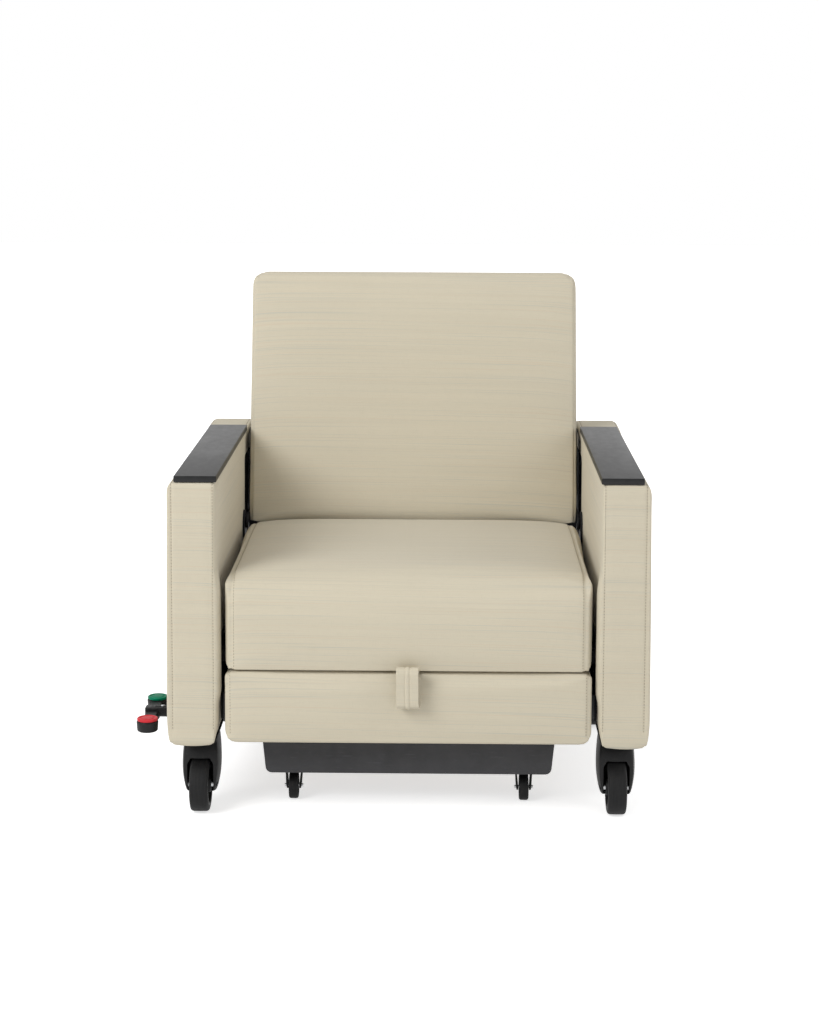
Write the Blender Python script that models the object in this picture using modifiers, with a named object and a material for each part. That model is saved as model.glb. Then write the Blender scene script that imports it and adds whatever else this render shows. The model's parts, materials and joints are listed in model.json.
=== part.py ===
"""Sleep chair on casters: upholstered arms, a seat, a back that folds flat behind it, and a foot
section that rolls out from under the seat on telescopic slides.

Metres, +Z up. The chair faces -Y, and left and right are as seen from the front. Sizes are worked
out from the arms' front faces (y = 0), the middle of the chair (x = 0) and the floor (z = 0). The
last step moves the whole chair so that the middle of its footprint is at the origin.
"""

import math

import bmesh
import bpy
from mathutils import Matrix, Vector

# Clearances
SEAT_GAP = 0.0003  # between pieces that bear on each other
RUN_GAP = 0.0005  # between pieces that slide or turn past each other

# Arms
HALF_WIDTH = 0.446  # middle of the chair to an arm's outer face
ARM_WIDTH = 0.093
ARM_LENGTH = 0.800
ARM_HEIGHT = 0.484
ARM_ROUND = 0.016
CAP_WIDTH = 0.076
CAP_LENGTH = 0.638
CAP_THICK = 0.0115
CAP_INSET = 0.0015  # cap behind the arm's front face and outside its inner face
CAP_ROUND = 0.002

# Casters under the arms
CASTER_HEIGHT = 0.140
CASTER_FROM_INNER = 0.0355  # arm's inner face to the swivel axis
CASTER_FRONT_Y = 0.100
CASTER_REAR_IN = 0.110  # arm's rear to the rear swivel axis
CASTER_TRAIL = 0.040
STEM_R = 0.010
STEM_SHORT = 0.004  # stem ends this far under the top of its boss
WHEEL_R = 0.050
WHEEL_W = 0.042
TREAD_W = 0.031
WHEEL_DISH = 0.008
TYRE_T = 0.009
WHEEL_SIDES = 32
HUB_R = 0.016
AXLE_R = 0.005
AXLE_SHORT = 0.006  # axle ends inside the fork's widest sides
FORK_W = 0.0724
FORK_WELL_W = 0.047
FORK_WELL_CLEAR = 0.0035
FORK_HEAD_R = 0.034
FORK_HEAD_T = 0.020
FORK_TOP_IN = 0.004  # hood's sides drawn in at its top
FORK_TIP_IN = 0.009  # hood's sides drawn in at the axle
FORK_BOSS_R = 0.0135

# Base plates under the arms
BASE_PLATE_T = 0.0035
BASE_PLATE_LAP = 0.002  # plate beyond the sides of the arm's hollow foot
BASE_PLATE_END = 0.024  # plate short of the arm at each end
BOSS_R = 0.0165
BOSS_HEIGHT = 0.022
LUG_T = 0.005
LUG_W = 0.024
LUG_OFFSET = 0.0205  # swivel axis to the middle of a lug
LUG_OVER = 0.011  # lug above the middle of its shaft

# Brake linkage in the arms' hollow feet
LOCK_RISE = 0.0345  # base plate's top to the brake shafts
SHAFT_R = 0.00635  # over the corners of the hexagon
SHAFT_END = 0.001  # shaft beyond its lugs
CRANK_R = 0.030
CRANK_T = 0.004
CRANK_W = 0.012
CRANK_OFFSET = 0.013  # swivel axis to the middle of a crank, toward the seat
CRANK_PIN_R = 0.003
CRANK_PIN_END = 0.001
PIN_PLAY = 0.00095
ROD_R = 0.003
EYE_T = 0.006
EYE_W = 0.014

# Hollow foot and steel hoop inside each arm
CHAMBER_SIDE = 0.007  # lugs to the hollow's sides
CHAMBER_HEAD = 0.0065  # linkage to the hollow's top
CHAMBER_END = 0.028  # upholstery left at the hollow's two ends
HOOP_R = 0.0125
HOOP_OFFSET = 0.011  # swivel axis to the hoop's plane, away from the seat
HOOP_SETBACK = 0.085  # each swivel axis to the hoop's nearer leg
HOOP_COVER = 0.068  # arm's top to the hoop's top
HOOP_BEND = 0.060

# Pedal on the left arm
PEDAL_OUT = 0.037  # arm's outer face to the middle of the pads
PEDAL_REACH = 0.075  # shaft to the middle of each pad
PAD_R = 0.0205
PAD_T = 0.005
PAD_ROUND = 0.0012
CUP_WALL = 0.0015
CUP_DEPTH = 0.018
CUP_TOP = 0.004  # top of a cup above the shaft
LEVER_W = 0.020
LEVER_T = 0.012
PEDAL_HUB_WALL = 0.0095
PEDAL_HUB_L = 0.046
BUSH_WALL = 0.0055
BUSH_FLANGE = 0.0065
BUSH_FLANGE_T = 0.003
SCREW_R = 0.0035
SCREW_HEAD = 0.0028
SCREW_OUT = 0.018  # arm's outer face to the clamp screw

# Side plates and telescopic slides
SIDE_PLATE_T = 0.004
SIDE_PLATE_FRONT = 0.087
SIDE_PLATE_SHORT = 0.028  # plate short of the arm's rear
SIDE_PLATE_UNDER = 0.004  # plate below the slide
SIDE_PLATE_OVER = 0.018  # plate above the seat rails
SIDE_PLATE_NOTCH = 0.034  # lower rear edge lifted clear of the brake bar
EAR_R = 0.024
SLIDE_SHORT = 0.030  # slide short of the rear casters' axis
SLIDE_LIFT = 0.020  # foot pad's underside to the slide
SLIDE_HEIGHT = 0.046
CHANNEL_T = 0.0015
MIDDLE_T = 0.0045
RUNNER_T = 0.003
RUNNER_FRONT = 0.100
RUNNER_FOOT_W = 0.056
RUNNER_FOOT_T = 0.0035
FOOT_SIDE_GAP = 0.0005

# Foot section
FRONT_PROUD = 0.006  # cushions ahead of the arms' front faces
FOOT_LIFT = 0.012  # casters' tops to the foot pad
FOOT_THICK = 0.1285
FOOT_BEHIND = 0.018  # foot pad behind the seat's rear
FOOT_ROUND = 0.020
FOOT_CROWN = 0.006
FOOT_FRONT_CROWN = 0.008
FOOT_DECK_T = 0.015
FOOT_DECK_FRONT = 0.050
FOOT_DECK_EDGE = 0.030  # pad beyond the deck at the sides and the rear
LEG_PANEL_Y = 0.085
LEG_PANEL_T = 0.003
LEG_PANEL_SIDE = 0.008  # runners' feet to the panel
LEG_PANEL_TAPER = 0.008
LEG_PANEL_SKIRT = 0.0125  # panel below its caster flange
LEG_PANEL_ROUND = 0.012
LEG_TOP_FLANGE = 0.070
LEG_LOW_FLANGE = 0.112

# Small casters under the leg panel
SMALL_IN = 0.0584  # leg panel's end to the swivel axis
SMALL_BEHIND = 0.070  # leg panel's face to the swivel axis
SMALL_HEIGHT = 0.0775
SMALL_TRAIL = 0.018
SMALL_R = 0.025
SMALL_W = 0.018
SMALL_SIDES = 24
SMALL_FORK_W = 0.034
SMALL_LEG_T = 0.003
SMALL_CROWN_T = 0.011
SMALL_CROWN_R = 0.015
SMALL_AXLE_R = 0.003
SMALL_BOSS_R = 0.0065
SMALL_STEM_R = 0.005
SMALL_STEM_UP = 0.012

# Pull strap
STRAP_W = 0.048
STRAP_T = 0.002
STRAP_STAND = 0.0275
STRAP_DROP = 0.072
STRAP_TAIL = 0.045
STRAP_TOP_ROUND = 0.018
STRAP_LOW_ROUND = 0.011
STRAP_GAP = 0.0005

# Seat
SEAT_SIDE_GAP = 0.0117  # side plates to the cushion
SEAT_SHORT = 0.234  # seat short of the arm's rear
SEAT_LIP_GAP = 0.005  # foot pad to the cushion's front lip
SEAT_THICK = 0.1845
SEAT_FALL = 0.016
SEAT_ROUND = 0.032
SEAT_CROWN = 0.018
SEAT_FRONT_CROWN = 0.010
LIP_DEPTH = 0.050
RAIL_H = 0.024
RAIL_W = 0.030
RAIL_LIFT = 0.0075  # foot pad to the rails
RAIL_BEHIND_LIP = 0.006
RAIL_REAR_IN = 0.036  # seat's rear to the rear rail
DECK_T = 0.012
DECK_INSET = 0.010

# Back
BACK_LEAN = 12.0  # degrees from upright
BACK_LENGTH = 0.528
BACK_START = 0.004  # hinge axis to the lower end of the cushion
BACK_THICK = 0.118
BACK_ROUND = 0.024
BACK_CROWN = 0.008
BACK_FRAME_T = 0.012
BACK_COVER_T = 0.010
BACK_COVER_RIM = 0.026
BACK_COVER_ROUND = 0.006
HINGE_BEHIND = 0.005  # seat's rear to the hinge axis
HINGE_DROP = 0.002  # hinge axis below the seat's rear edge
HINGE_EYE_R = 0.016
HINGE_ARM_T = 0.004
HINGE_ARM_UP = 0.190
HINGE_ARM_W = 0.026
HINGE_SIDE_GAP = 0.0022
HINGE_PIN_R = 0.007
HINGE_PIN_SHORT = 0.0006  # pin ends inside the side plate's outer face

# Rear of the base
REAR_RAIL_H = 0.024
REAR_RAIL_W = 0.026
REAR_RAIL_GAP = 0.008  # folded back to the rear rail
REAR_RAIL_IN = 0.018  # rail short of the side plates' rear edge
REAR_COVER_T = 0.004
REAR_COVER_DROP = 0.120
REAR_COVER_INSET = 0.009

# Heights
PLATE_TOP = CASTER_HEIGHT + BASE_PLATE_T
ARM_BOTTOM = PLATE_TOP + SEAT_GAP
ARM_TOP = ARM_BOTTOM + ARM_HEIGHT
CAP_BOTTOM = ARM_TOP + SEAT_GAP
LOCK_Z = PLATE_TOP + LOCK_RISE
CHAMBER_TOP = LOCK_Z + CRANK_R + EYE_W / 2 + CHAMBER_HEAD
HOOP_TOP = ARM_TOP - HOOP_COVER
FOOT_BOTTOM = CASTER_HEIGHT + FOOT_LIFT
FOOT_TOP = FOOT_BOTTOM + FOOT_THICK
RUNNER_TOP = FOOT_BOTTOM - SEAT_GAP
SLIDE_BOTTOM = FOOT_BOTTOM + SLIDE_LIFT
SLIDE_TOP = SLIDE_BOTTOM + SLIDE_HEIGHT
SEAT_BOTTOM = FOOT_TOP + SEAT_LIP_GAP
SEAT_TOP = SEAT_BOTTOM + SEAT_THICK
RAIL_BOTTOM = FOOT_TOP + RAIL_LIFT
RAIL_TOP = RAIL_BOTTOM + RAIL_H
DECK_BOTTOM = RAIL_TOP + SEAT_GAP
DECK_TOP = DECK_BOTTOM + DECK_T
HINGE_Z = SEAT_TOP - SEAT_FALL - HINGE_DROP
BACK_REAR = BACK_THICK + SEAT_GAP + BACK_FRAME_T + SEAT_GAP + BACK_COVER_T
REAR_RAIL_TOP = HINGE_Z - BACK_REAR - REAR_RAIL_GAP

# Places out from the middle
ARM_INNER = HALF_WIDTH - ARM_WIDTH
CASTER_X = ARM_INNER + CASTER_FROM_INNER
CHAMBER_HALF = LUG_OFFSET + LUG_T / 2 + CHAMBER_SIDE
HOOP_X = CASTER_X + HOOP_OFFSET
CRANK_X = CASTER_X - CRANK_OFFSET
EYE_IN = CRANK_X + CRANK_T / 2 + RUN_GAP
SHAFT_HALF = LUG_OFFSET + LUG_T / 2 + SHAFT_END
PLATE_OUT = ARM_INNER - SEAT_GAP
PLATE_IN = PLATE_OUT - SIDE_PLATE_T
CHANNEL_OUT = PLATE_IN - SEAT_GAP
CHANNEL_IN = CHANNEL_OUT - CHANNEL_T
MIDDLE_OUT = CHANNEL_IN - RUN_GAP
MIDDLE_IN = MIDDLE_OUT - MIDDLE_T
RUNNER_OUT = MIDDLE_IN - RUN_GAP
RUNNER_IN = RUNNER_OUT - RUNNER_T
RUNNER_FOOT_IN = RUNNER_OUT - RUNNER_FOOT_W
FOOT_HALF = RUNNER_IN - FOOT_SIDE_GAP
LEG_PANEL_HALF = RUNNER_FOOT_IN - LEG_PANEL_SIDE
SMALL_X = LEG_PANEL_HALF - SMALL_IN
SEAT_HALF = PLATE_IN - SEAT_SIDE_GAP
RAIL_HALF = PLATE_IN - SEAT_GAP
HINGE_ARM_OUT = PLATE_IN - HINGE_SIDE_GAP
HINGE_ARM_IN = HINGE_ARM_OUT - HINGE_ARM_T
BACK_HALF = HINGE_ARM_IN - RUN_GAP

# Places from the arms' front faces
CASTER_REAR_Y = ARM_LENGTH - CASTER_REAR_IN
SEAT_REAR = ARM_LENGTH - SEAT_SHORT
SIDE_PLATE_REAR = ARM_LENGTH - SIDE_PLATE_SHORT
SLIDE_REAR = CASTER_REAR_Y - SLIDE_SHORT
RUNNER_REAR = SLIDE_REAR - RUN_GAP
FOOT_REAR = SEAT_REAR + FOOT_BEHIND
LIP_REAR = LIP_DEPTH - FRONT_PROUD
RAIL_FRONT_Y = LIP_REAR + RAIL_BEHIND_LIP
RAIL_REAR_Y = SEAT_REAR - RAIL_REAR_IN - RAIL_W
HINGE_Y = SEAT_REAR + HINGE_BEHIND
REAR_RAIL_Y = SIDE_PLATE_REAR - REAR_RAIL_IN - REAR_RAIL_W
SMALL_Y = LEG_PANEL_Y + SMALL_BEHIND
PEDAL_HUB_R = SHAFT_R + SEAT_GAP + PEDAL_HUB_WALL
BUSH_OUT = HALF_WIDTH + SEAT_GAP + BUSH_FLANGE_T

# Colour, roughness and metallic value of each kind of surface
KINDS = {
    "fabric": ((0.62, 0.55, 0.42, 1.0), 0.92, 0.0),
    "cap": ((0.16, 0.16, 0.165, 1.0), 0.45, 0.0),
    "dark_steel": ((0.045, 0.045, 0.05, 1.0), 0.45, 0.7),
    "grey_paint": ((0.06, 0.06, 0.065, 1.0), 0.55, 0.0),
    "zinc": ((0.60, 0.61, 0.63, 1.0), 0.35, 1.0),
    "black_plastic": ((0.02, 0.02, 0.022, 1.0), 0.5, 0.0),
    "tyre": ((0.03, 0.03, 0.032, 1.0), 0.75, 0.0),
    "red": ((0.60, 0.035, 0.045, 1.0), 0.45, 0.0),
    "green": ((0.0, 0.20, 0.11, 1.0), 0.45, 0.0),
    "board": ((0.45, 0.31, 0.17, 1.0), 0.7, 0.0),
}

SIDES = (("left", -1), ("right", 1))
ENDS = (("front", CASTER_FRONT_Y), ("rear", CASTER_REAR_Y))

for old in list(bpy.data.objects):
    bpy.data.objects.remove(old, do_unlink=True)

parts = bpy.data.collections.new("sleep_chair")
cutters = bpy.data.collections.new("sleep_chair_cutters")
for collection in (parts, cutters):
    bpy.context.scene.collection.children.link(collection)


def empty(name, parent=None, place=(0.0, 0.0, 0.0), turn_x=0.0):
    """An axis or a reference point that pieces hang on."""
    obj = bpy.data.objects.new(name, None)
    obj.empty_display_size = 0.05
    obj.parent = parent
    obj.location = place
    obj.rotation_euler.x = turn_x
    parts.objects.link(obj)
    return obj


def painted(name, kind):
    """A material of one of the kinds of surface."""
    colour, rough, metal = KINDS[kind]
    paint = bpy.data.materials.new(name)
    paint.use_nodes = True
    shader = paint.node_tree.nodes["Principled BSDF"]
    shader.inputs["Base Color"].default_value = colour
    shader.inputs["Roughness"].default_value = rough
    shader.inputs["Metallic"].default_value = metal
    return paint


def mesh_of(name, bm):
    bmesh.ops.recalc_face_normals(bm, faces=bm.faces)
    mesh = bpy.data.meshes.new(name)
    bm.to_mesh(mesh)
    bm.free()
    return mesh


def piece(name, kind, parent, bm):
    """A named piece from a bmesh in its parent's frame."""
    mesh = mesh_of(name, bm)
    mesh.shade_smooth()
    mesh.set_sharp_from_angle(angle=math.radians(35.0))
    mesh.materials.append(painted(name, kind))
    obj = bpy.data.objects.new(name, mesh)
    obj.parent = parent
    parts.objects.link(obj)
    return obj


def change(obj, operation, shapes):
    for bm in shapes:
        tool = bpy.data.objects.new(obj.name + "_tool", mesh_of(obj.name + "_tool", bm))
        tool.parent = obj.parent
        tool.hide_render = True
        tool.display_type = "WIRE"
        cutters.objects.link(tool)
        boolean = obj.modifiers.new(operation.lower(), "BOOLEAN")
        boolean.operation = operation
        boolean.solver = "EXACT"
        boolean.object = tool
    return obj


def cut(obj, *shapes):
    return change(obj, "DIFFERENCE", shapes)


def join(obj, *shapes):
    return change(obj, "UNION", shapes)


def keep(obj, *shapes):
    return change(obj, "INTERSECT", shapes)


def rounded(obj, width, segments=2):
    bevel = obj.modifiers.new("rounded", "BEVEL")
    bevel.width = width
    bevel.segments = segments
    bevel.limit_method = "ANGLE"
    bevel.angle_limit = math.radians(40.0)
    return obj


def box(low, high):
    low, high = Vector(low), Vector(high)
    place = Matrix.Translation((low + high) / 2) @ Matrix.Diagonal((*(high - low), 1.0))
    bm = bmesh.new()
    bmesh.ops.create_cube(bm, size=1.0, matrix=place)
    return bm


def corners(sign, near, far, low, high):
    """Low and high corners of a box on one side of the chair, near..far out from the middle."""
    x_low, x_high = sorted((sign * near, sign * far))
    return (x_low, *low), (x_high, *high)


def side_box(sign, near, far, low, high):
    return box(*corners(sign, near, far, low, high))


def rod(axis, radius, start, end, across, sides=20):
    """A round bar along X, Y or Z from start to end; across gives its place on the other two."""
    turns = {
        "X": Matrix.Rotation(math.pi / 2, 4, "Y"),
        "Y": Matrix.Rotation(math.pi / 2, 4, "X"),
        "Z": Matrix.Identity(4),
    }
    middle = list(across)
    middle.insert("XYZ".index(axis), (start + end) / 2)
    bm = bmesh.new()
    bmesh.ops.create_cone(
        bm, cap_ends=True, segments=sides, radius1=radius, radius2=radius,
        depth=abs(end - start), matrix=Matrix.Translation(middle) @ turns[axis],
    )
    return bm


def arc(centre, radius, start, end, steps=5):
    """Points on an arc, with its angles in degrees."""
    angles = [math.radians(start + (end - start) * i / steps) for i in range(steps + 1)]
    return [(centre[0] + radius * math.cos(a), centre[1] + radius * math.sin(a)) for a in angles]


def slab(axis, loops, start, end):
    """Flat outlines pushed along X (points are y, z) or along Y (points are x, z)."""
    curve = bpy.data.curves.new("outline", "CURVE")
    curve.dimensions = "2D"
    curve.fill_mode = "BOTH"
    curve.extrude = abs(end - start) / 2
    for loop in loops:
        spline = curve.splines.new("POLY")
        spline.points.add(len(loop) - 1)
        for point, (u, v) in zip(spline.points, loop):
            point.co = (u, v, 0.0, 1.0)
        spline.use_cyclic_u = True
    flat = bpy.data.objects.new("outline", curve)
    cutters.objects.link(flat)
    graph = bpy.context.evaluated_depsgraph_get()
    mesh = bpy.data.meshes.new_from_object(flat.evaluated_get(graph))
    bpy.data.objects.remove(flat, do_unlink=True)
    bm = bmesh.new()
    bm.from_mesh(mesh)
    bpy.data.meshes.remove(mesh)
    bmesh.ops.remove_doubles(bm, verts=bm.verts, dist=1e-6)
    middle = (start + end) / 2
    if axis == "X":
        turn = Matrix(((0, 0, 1, middle), (1, 0, 0, 0), (0, 1, 0, 0), (0, 0, 0, 1)))
    else:
        turn = Matrix(((1, 0, 0, 0), (0, 0, 1, middle), (0, 1, 0, 0), (0, 0, 0, 1)))
    bmesh.ops.transform(bm, matrix=turn, verts=bm.verts)
    return bm


def turned(profile, sides, place=(0.0, 0.0, 0.0)):
    """A round piece about an X axis, with one of its flats straight down. Points are radius, x."""
    grow = 1.0 / math.cos(math.pi / sides)
    first = Matrix.Rotation(math.pi / sides, 3, "X")
    bm = bmesh.new()
    ring = [bm.verts.new(first @ Vector((x, 0.0, -r * grow))) for r, x in profile]
    edges = [bm.edges.new(pair) for pair in zip(ring, ring[1:] + ring[:1])]
    bmesh.ops.spin(
        bm, geom=ring + edges, cent=(0, 0, 0), axis=(1, 0, 0), angle=2 * math.pi, steps=sides,
        use_merge=True,
    )
    bmesh.ops.remove_doubles(bm, verts=bm.verts, dist=1e-6)
    bmesh.ops.translate(bm, vec=place, verts=bm.verts)
    return bm


def stuffed(low, high, radius, crowns=None, fall=0.0):
    """A padded block inside low..high: rounded edges, faces that swell between drawn-in seams, and
    a top that falls away to the rear. crowns gives the swell of each face that has one."""
    crowns = crowns or {}
    low, high = Vector(low), Vector(high)
    for (sign, axis), swell in crowns.items():
        if sign > 0:
            high[axis] -= swell
        else:
            low[axis] += swell
    centre, half = (low + high) / 2, (high - low) / 2
    flat = half - Vector((radius, radius, radius))
    bend = math.tan(math.pi / 8)
    stops = ((0.0, 0.0, 0.0), (0.5, 1.0, 0.0), (0.75, 1.0, bend), (1.0, 1.0, 1.0))
    bm = bmesh.new()
    bmesh.ops.create_cube(bm, size=2.0)
    bmesh.ops.subdivide_edges(bm, edges=bm.edges[:], cuts=7, use_grid_fill=True)
    for vert in bm.verts:
        point = Vector()
        for i in range(3):
            t = abs(vert.co[i])
            for (t0, flat0, round0), (t1, flat1, round1) in zip(stops, stops[1:]):
                if t <= t1 + 1e-6:
                    s = (t - t0) / (t1 - t0)
                    size = flat[i] * (flat0 + (flat1 - flat0) * s)
                    size += radius * (round0 + (round1 - round0) * s)
                    break
            point[i] = math.copysign(size, vert.co[i])
        core = Vector([max(-flat[i], min(flat[i], point[i])) for i in range(3)])
        over = point - core
        if over.length > 1e-9:
            point = core + over * (radius / over.length)
        share = [point[i] / half[i] for i in range(3)]
        moved = point.copy()
        for (sign, axis), swell in crowns.items():
            near = max(0.0, sign * share[axis])
            for i in range(3):
                if i != axis:
                    near *= 1.0 - share[i] ** 4
            moved[axis] += sign * swell * near
        moved.z -= fall * max(0.0, share[2]) * (share[1] + 1.0) / 2
        vert.co = centre + moved
    return bm


def brake_shaft(name, kind, parent, start, end, signs):
    """A hexagonal shaft along X with an upright crank and pin for each side named."""
    obj = piece(name, kind, parent, rod("X", SHAFT_R, start, end, (0.0, 0.0), sides=6))
    for sign in signs:
        near, far = CRANK_X - CRANK_T / 2, CRANK_X + CRANK_T / 2
        pin_end = EYE_IN + EYE_T + CRANK_PIN_END
        join(
            obj,
            side_box(sign, near, far, (-CRANK_W / 2, -SHAFT_R), (CRANK_W / 2, CRANK_R + CRANK_W / 2)),
            rod("X", CRANK_PIN_R, sign * CRANK_X, sign * pin_end, (0.0, CRANK_R), sides=16),
        )
    return obj


chair = empty("sleep_chair_origin")
foot = empty("foot_slide", chair)
middle_slide = empty("middle_slide", chair)
back = empty("back_hinge", chair, (0.0, HINGE_Y, HINGE_Z), -math.radians(BACK_LEAN))
pedal = empty("pedal_axis", chair, (0.0, CASTER_FRONT_Y, LOCK_Z))
right_axis = empty("right_brake_axis", chair, (0.0, CASTER_FRONT_Y, LOCK_Z))
rear_axis = empty("rear_brake_axis", chair, (0.0, CASTER_REAR_Y, LOCK_Z))

for side, sign in SIDES:
    # Arm: upholstery, open underneath, over a steel hoop, with a flat cap on top
    arm = piece(
        f"arm_upholstery_{side}", "fabric", chair,
        stuffed(*corners(sign, ARM_INNER, HALF_WIDTH, (0.0, ARM_BOTTOM), (ARM_LENGTH, ARM_TOP)), ARM_ROUND),
    )
    slot = HOOP_R + RUN_GAP
    hoop_front, hoop_rear = CASTER_FRONT_Y + HOOP_SETBACK, CASTER_REAR_Y - HOOP_SETBACK
    bar_hole = SHAFT_R + RUN_GAP
    cut(
        arm,
        side_box(
            sign, CASTER_X - CHAMBER_HALF, CASTER_X + CHAMBER_HALF,
            (CHAMBER_END, ARM_BOTTOM - ARM_ROUND), (ARM_LENGTH - CHAMBER_END, CHAMBER_TOP),
        ),
        side_box(
            sign, HOOP_X - slot, HOOP_X + slot, (hoop_front - slot, CHAMBER_TOP - ARM_ROUND),
            (hoop_rear + slot, HOOP_TOP + slot),
        ),
        rod("X", bar_hole, sign * (ARM_INNER - ARM_ROUND), sign * CASTER_X, (CASTER_REAR_Y, LOCK_Z)),
    )
    if side == "left":
        bush_hole = SHAFT_R + RUN_GAP + BUSH_WALL + SEAT_GAP
        cut(
            arm,
            rod(
                "X", bush_hole, sign * CASTER_X, sign * (HALF_WIDTH + ARM_ROUND),
                (CASTER_FRONT_Y, LOCK_Z),
            ),
        )
    cap_in = ARM_INNER + CAP_INSET
    rounded(
        piece(
            f"arm_cap_{side}", "cap", chair,
            side_box(
                sign, cap_in, cap_in + CAP_WIDTH, (CAP_INSET, CAP_BOTTOM),
                (CAP_INSET + CAP_LENGTH, CAP_BOTTOM + CAP_THICK),
            ),
        ),
        CAP_ROUND,
    )

    hoop = bpy.data.curves.new(f"arm_frame_{side}", "CURVE")
    hoop.dimensions = "3D"
    hoop.bevel_depth = HOOP_R
    hoop.bevel_resolution = 2
    hoop.use_fill_caps = True
    route = [(hoop_front, ARM_BOTTOM)]
    route += arc((hoop_front + HOOP_BEND, HOOP_TOP - HOOP_BEND), HOOP_BEND, 180, 90)
    route += arc((hoop_rear - HOOP_BEND, HOOP_TOP - HOOP_BEND), HOOP_BEND, 90, 0)
    route += [(hoop_rear, ARM_BOTTOM)]
    spline = hoop.splines.new("POLY")
    spline.points.add(len(route) - 1)
    for point, (y, z) in zip(spline.points, route):
        point.co = (sign * HOOP_X, y, z, 1.0)
    hoop.materials.append(painted(hoop.name, "dark_steel"))
    tube = bpy.data.objects.new(hoop.name, hoop)
    tube.parent = chair
    parts.objects.link(tube)

    # Base plate: caster bosses and the lugs that carry the brake shafts
    plate_half = CHAMBER_HALF + BASE_PLATE_LAP
    plate = piece(
        f"base_plate_{side}", "dark_steel", chair,
        side_box(
            sign, CASTER_X - plate_half, CASTER_X + plate_half, (BASE_PLATE_END, CASTER_HEIGHT),
            (ARM_LENGTH - BASE_PLATE_END, PLATE_TOP),
        ),
    )
    under, over = CASTER_HEIGHT - BASE_PLATE_T, PLATE_TOP + BOSS_HEIGHT
    lug_low = PLATE_TOP - BASE_PLATE_T / 2
    for _, y in ENDS:
        join(plate, rod("Z", BOSS_R, lug_low, over, (sign * CASTER_X, y), sides=24))
        for step in (-LUG_OFFSET, LUG_OFFSET):
            near = CASTER_X + step - LUG_T / 2
            join(
                plate,
                side_box(
                    sign, near, near + LUG_T, (y - LUG_W / 2, lug_low), (y + LUG_W / 2, LOCK_Z + LUG_OVER)
                ),
            )
        cut(
            plate,
            rod("Z", STEM_R + RUN_GAP, under, over + BASE_PLATE_T, (sign * CASTER_X, y)),
            rod(
                "X", SHAFT_R + RUN_GAP, sign * (CASTER_X - 2 * LUG_OFFSET),
                sign * (CASTER_X + 2 * LUG_OFFSET), (y, LOCK_Z),
            ),
        )

    # Side plate on the arm's inner face, with an ear for the back's hinge
    notch_y = CASTER_REAR_Y - SLIDE_SHORT / 2
    low_edge = SLIDE_BOTTOM - SIDE_PLATE_UNDER
    top_edge = RAIL_TOP + SIDE_PLATE_OVER
    plate_loop = [
        (SIDE_PLATE_FRONT, low_edge), (notch_y, low_edge), (notch_y, low_edge + SIDE_PLATE_NOTCH),
        (SIDE_PLATE_REAR, low_edge + SIDE_PLATE_NOTCH), (SIDE_PLATE_REAR, REAR_RAIL_TOP),
        (HINGE_Y + 2 * EAR_R, top_edge),
    ]
    plate_loop += arc((HINGE_Y, HINGE_Z), EAR_R, 0, 180, 8)
    plate_loop += [(HINGE_Y - EAR_R, top_edge), (SIDE_PLATE_FRONT, top_edge)]
    cut(
        piece(
            f"side_plate_{side}", "dark_steel", chair,
            slab("X", [plate_loop], sign * PLATE_IN, sign * PLATE_OUT),
        ),
        rod(
            "X", HINGE_PIN_R + RUN_GAP, sign * (PLATE_IN - SIDE_PLATE_T), sign * (PLATE_OUT + SIDE_PLATE_T),
            (HINGE_Y, HINGE_Z),
        ),
    )

    # Telescopic slide: a channel on the side plate, a middle bar and the foot section's runner
    channel = piece(
        f"slide_channel_{side}", "zinc", chair,
        side_box(
            sign, MIDDLE_IN, CHANNEL_OUT, (SIDE_PLATE_FRONT, SLIDE_BOTTOM), (SLIDE_REAR, SLIDE_TOP)
        ),
    )
    cut(
        channel,
        side_box(
            sign, MIDDLE_IN - RUNNER_T, CHANNEL_IN,
            (SIDE_PLATE_FRONT - SIDE_PLATE_T, SLIDE_BOTTOM + CHANNEL_T),
            (SLIDE_REAR + SIDE_PLATE_T, SLIDE_TOP - CHANNEL_T),
        ),
    )
    bar_low, bar_high = SLIDE_BOTTOM + CHANNEL_T + RUN_GAP, SLIDE_TOP - CHANNEL_T - RUN_GAP
    piece(
        f"slide_middle_{side}", "zinc", middle_slide,
        side_box(sign, MIDDLE_IN, MIDDLE_OUT, (SIDE_PLATE_FRONT, bar_low), (RUNNER_REAR, bar_high)),
    )
    runner = piece(
        f"foot_runner_{side}", "dark_steel", foot,
        side_box(
            sign, RUNNER_IN, RUNNER_OUT, (RUNNER_FRONT, RUNNER_TOP - RUNNER_FOOT_T),
            (RUNNER_REAR, bar_high),
        ),
    )
    join(
        runner,
        side_box(
            sign, RUNNER_FOOT_IN, RUNNER_IN + RUNNER_T / 2,
            (RUNNER_FRONT, RUNNER_TOP - RUNNER_FOOT_T), (RUNNER_REAR, RUNNER_TOP),
        ),
    )

    # Hinge arm of the back, with its pin
    arm_loop = arc((0.0, 0.0), HINGE_EYE_R, 90, 270, 8)
    arm_loop += [
        (BACK_REAR, BACK_START), (BACK_REAR, HINGE_ARM_UP), (BACK_REAR - HINGE_ARM_W, HINGE_ARM_UP),
        (BACK_REAR - HINGE_ARM_W, HINGE_EYE_R + HINGE_ARM_W),
    ]
    join(
        piece(
            f"back_hinge_arm_{side}", "dark_steel", back,
            slab("X", [arm_loop], sign * HINGE_ARM_IN, sign * HINGE_ARM_OUT),
        ),
        rod(
            "X", HINGE_PIN_R, sign * (HINGE_ARM_IN + HINGE_ARM_T / 2), sign * (PLATE_OUT - HINGE_PIN_SHORT),
            (0.0, 0.0),
        ),
    )

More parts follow.
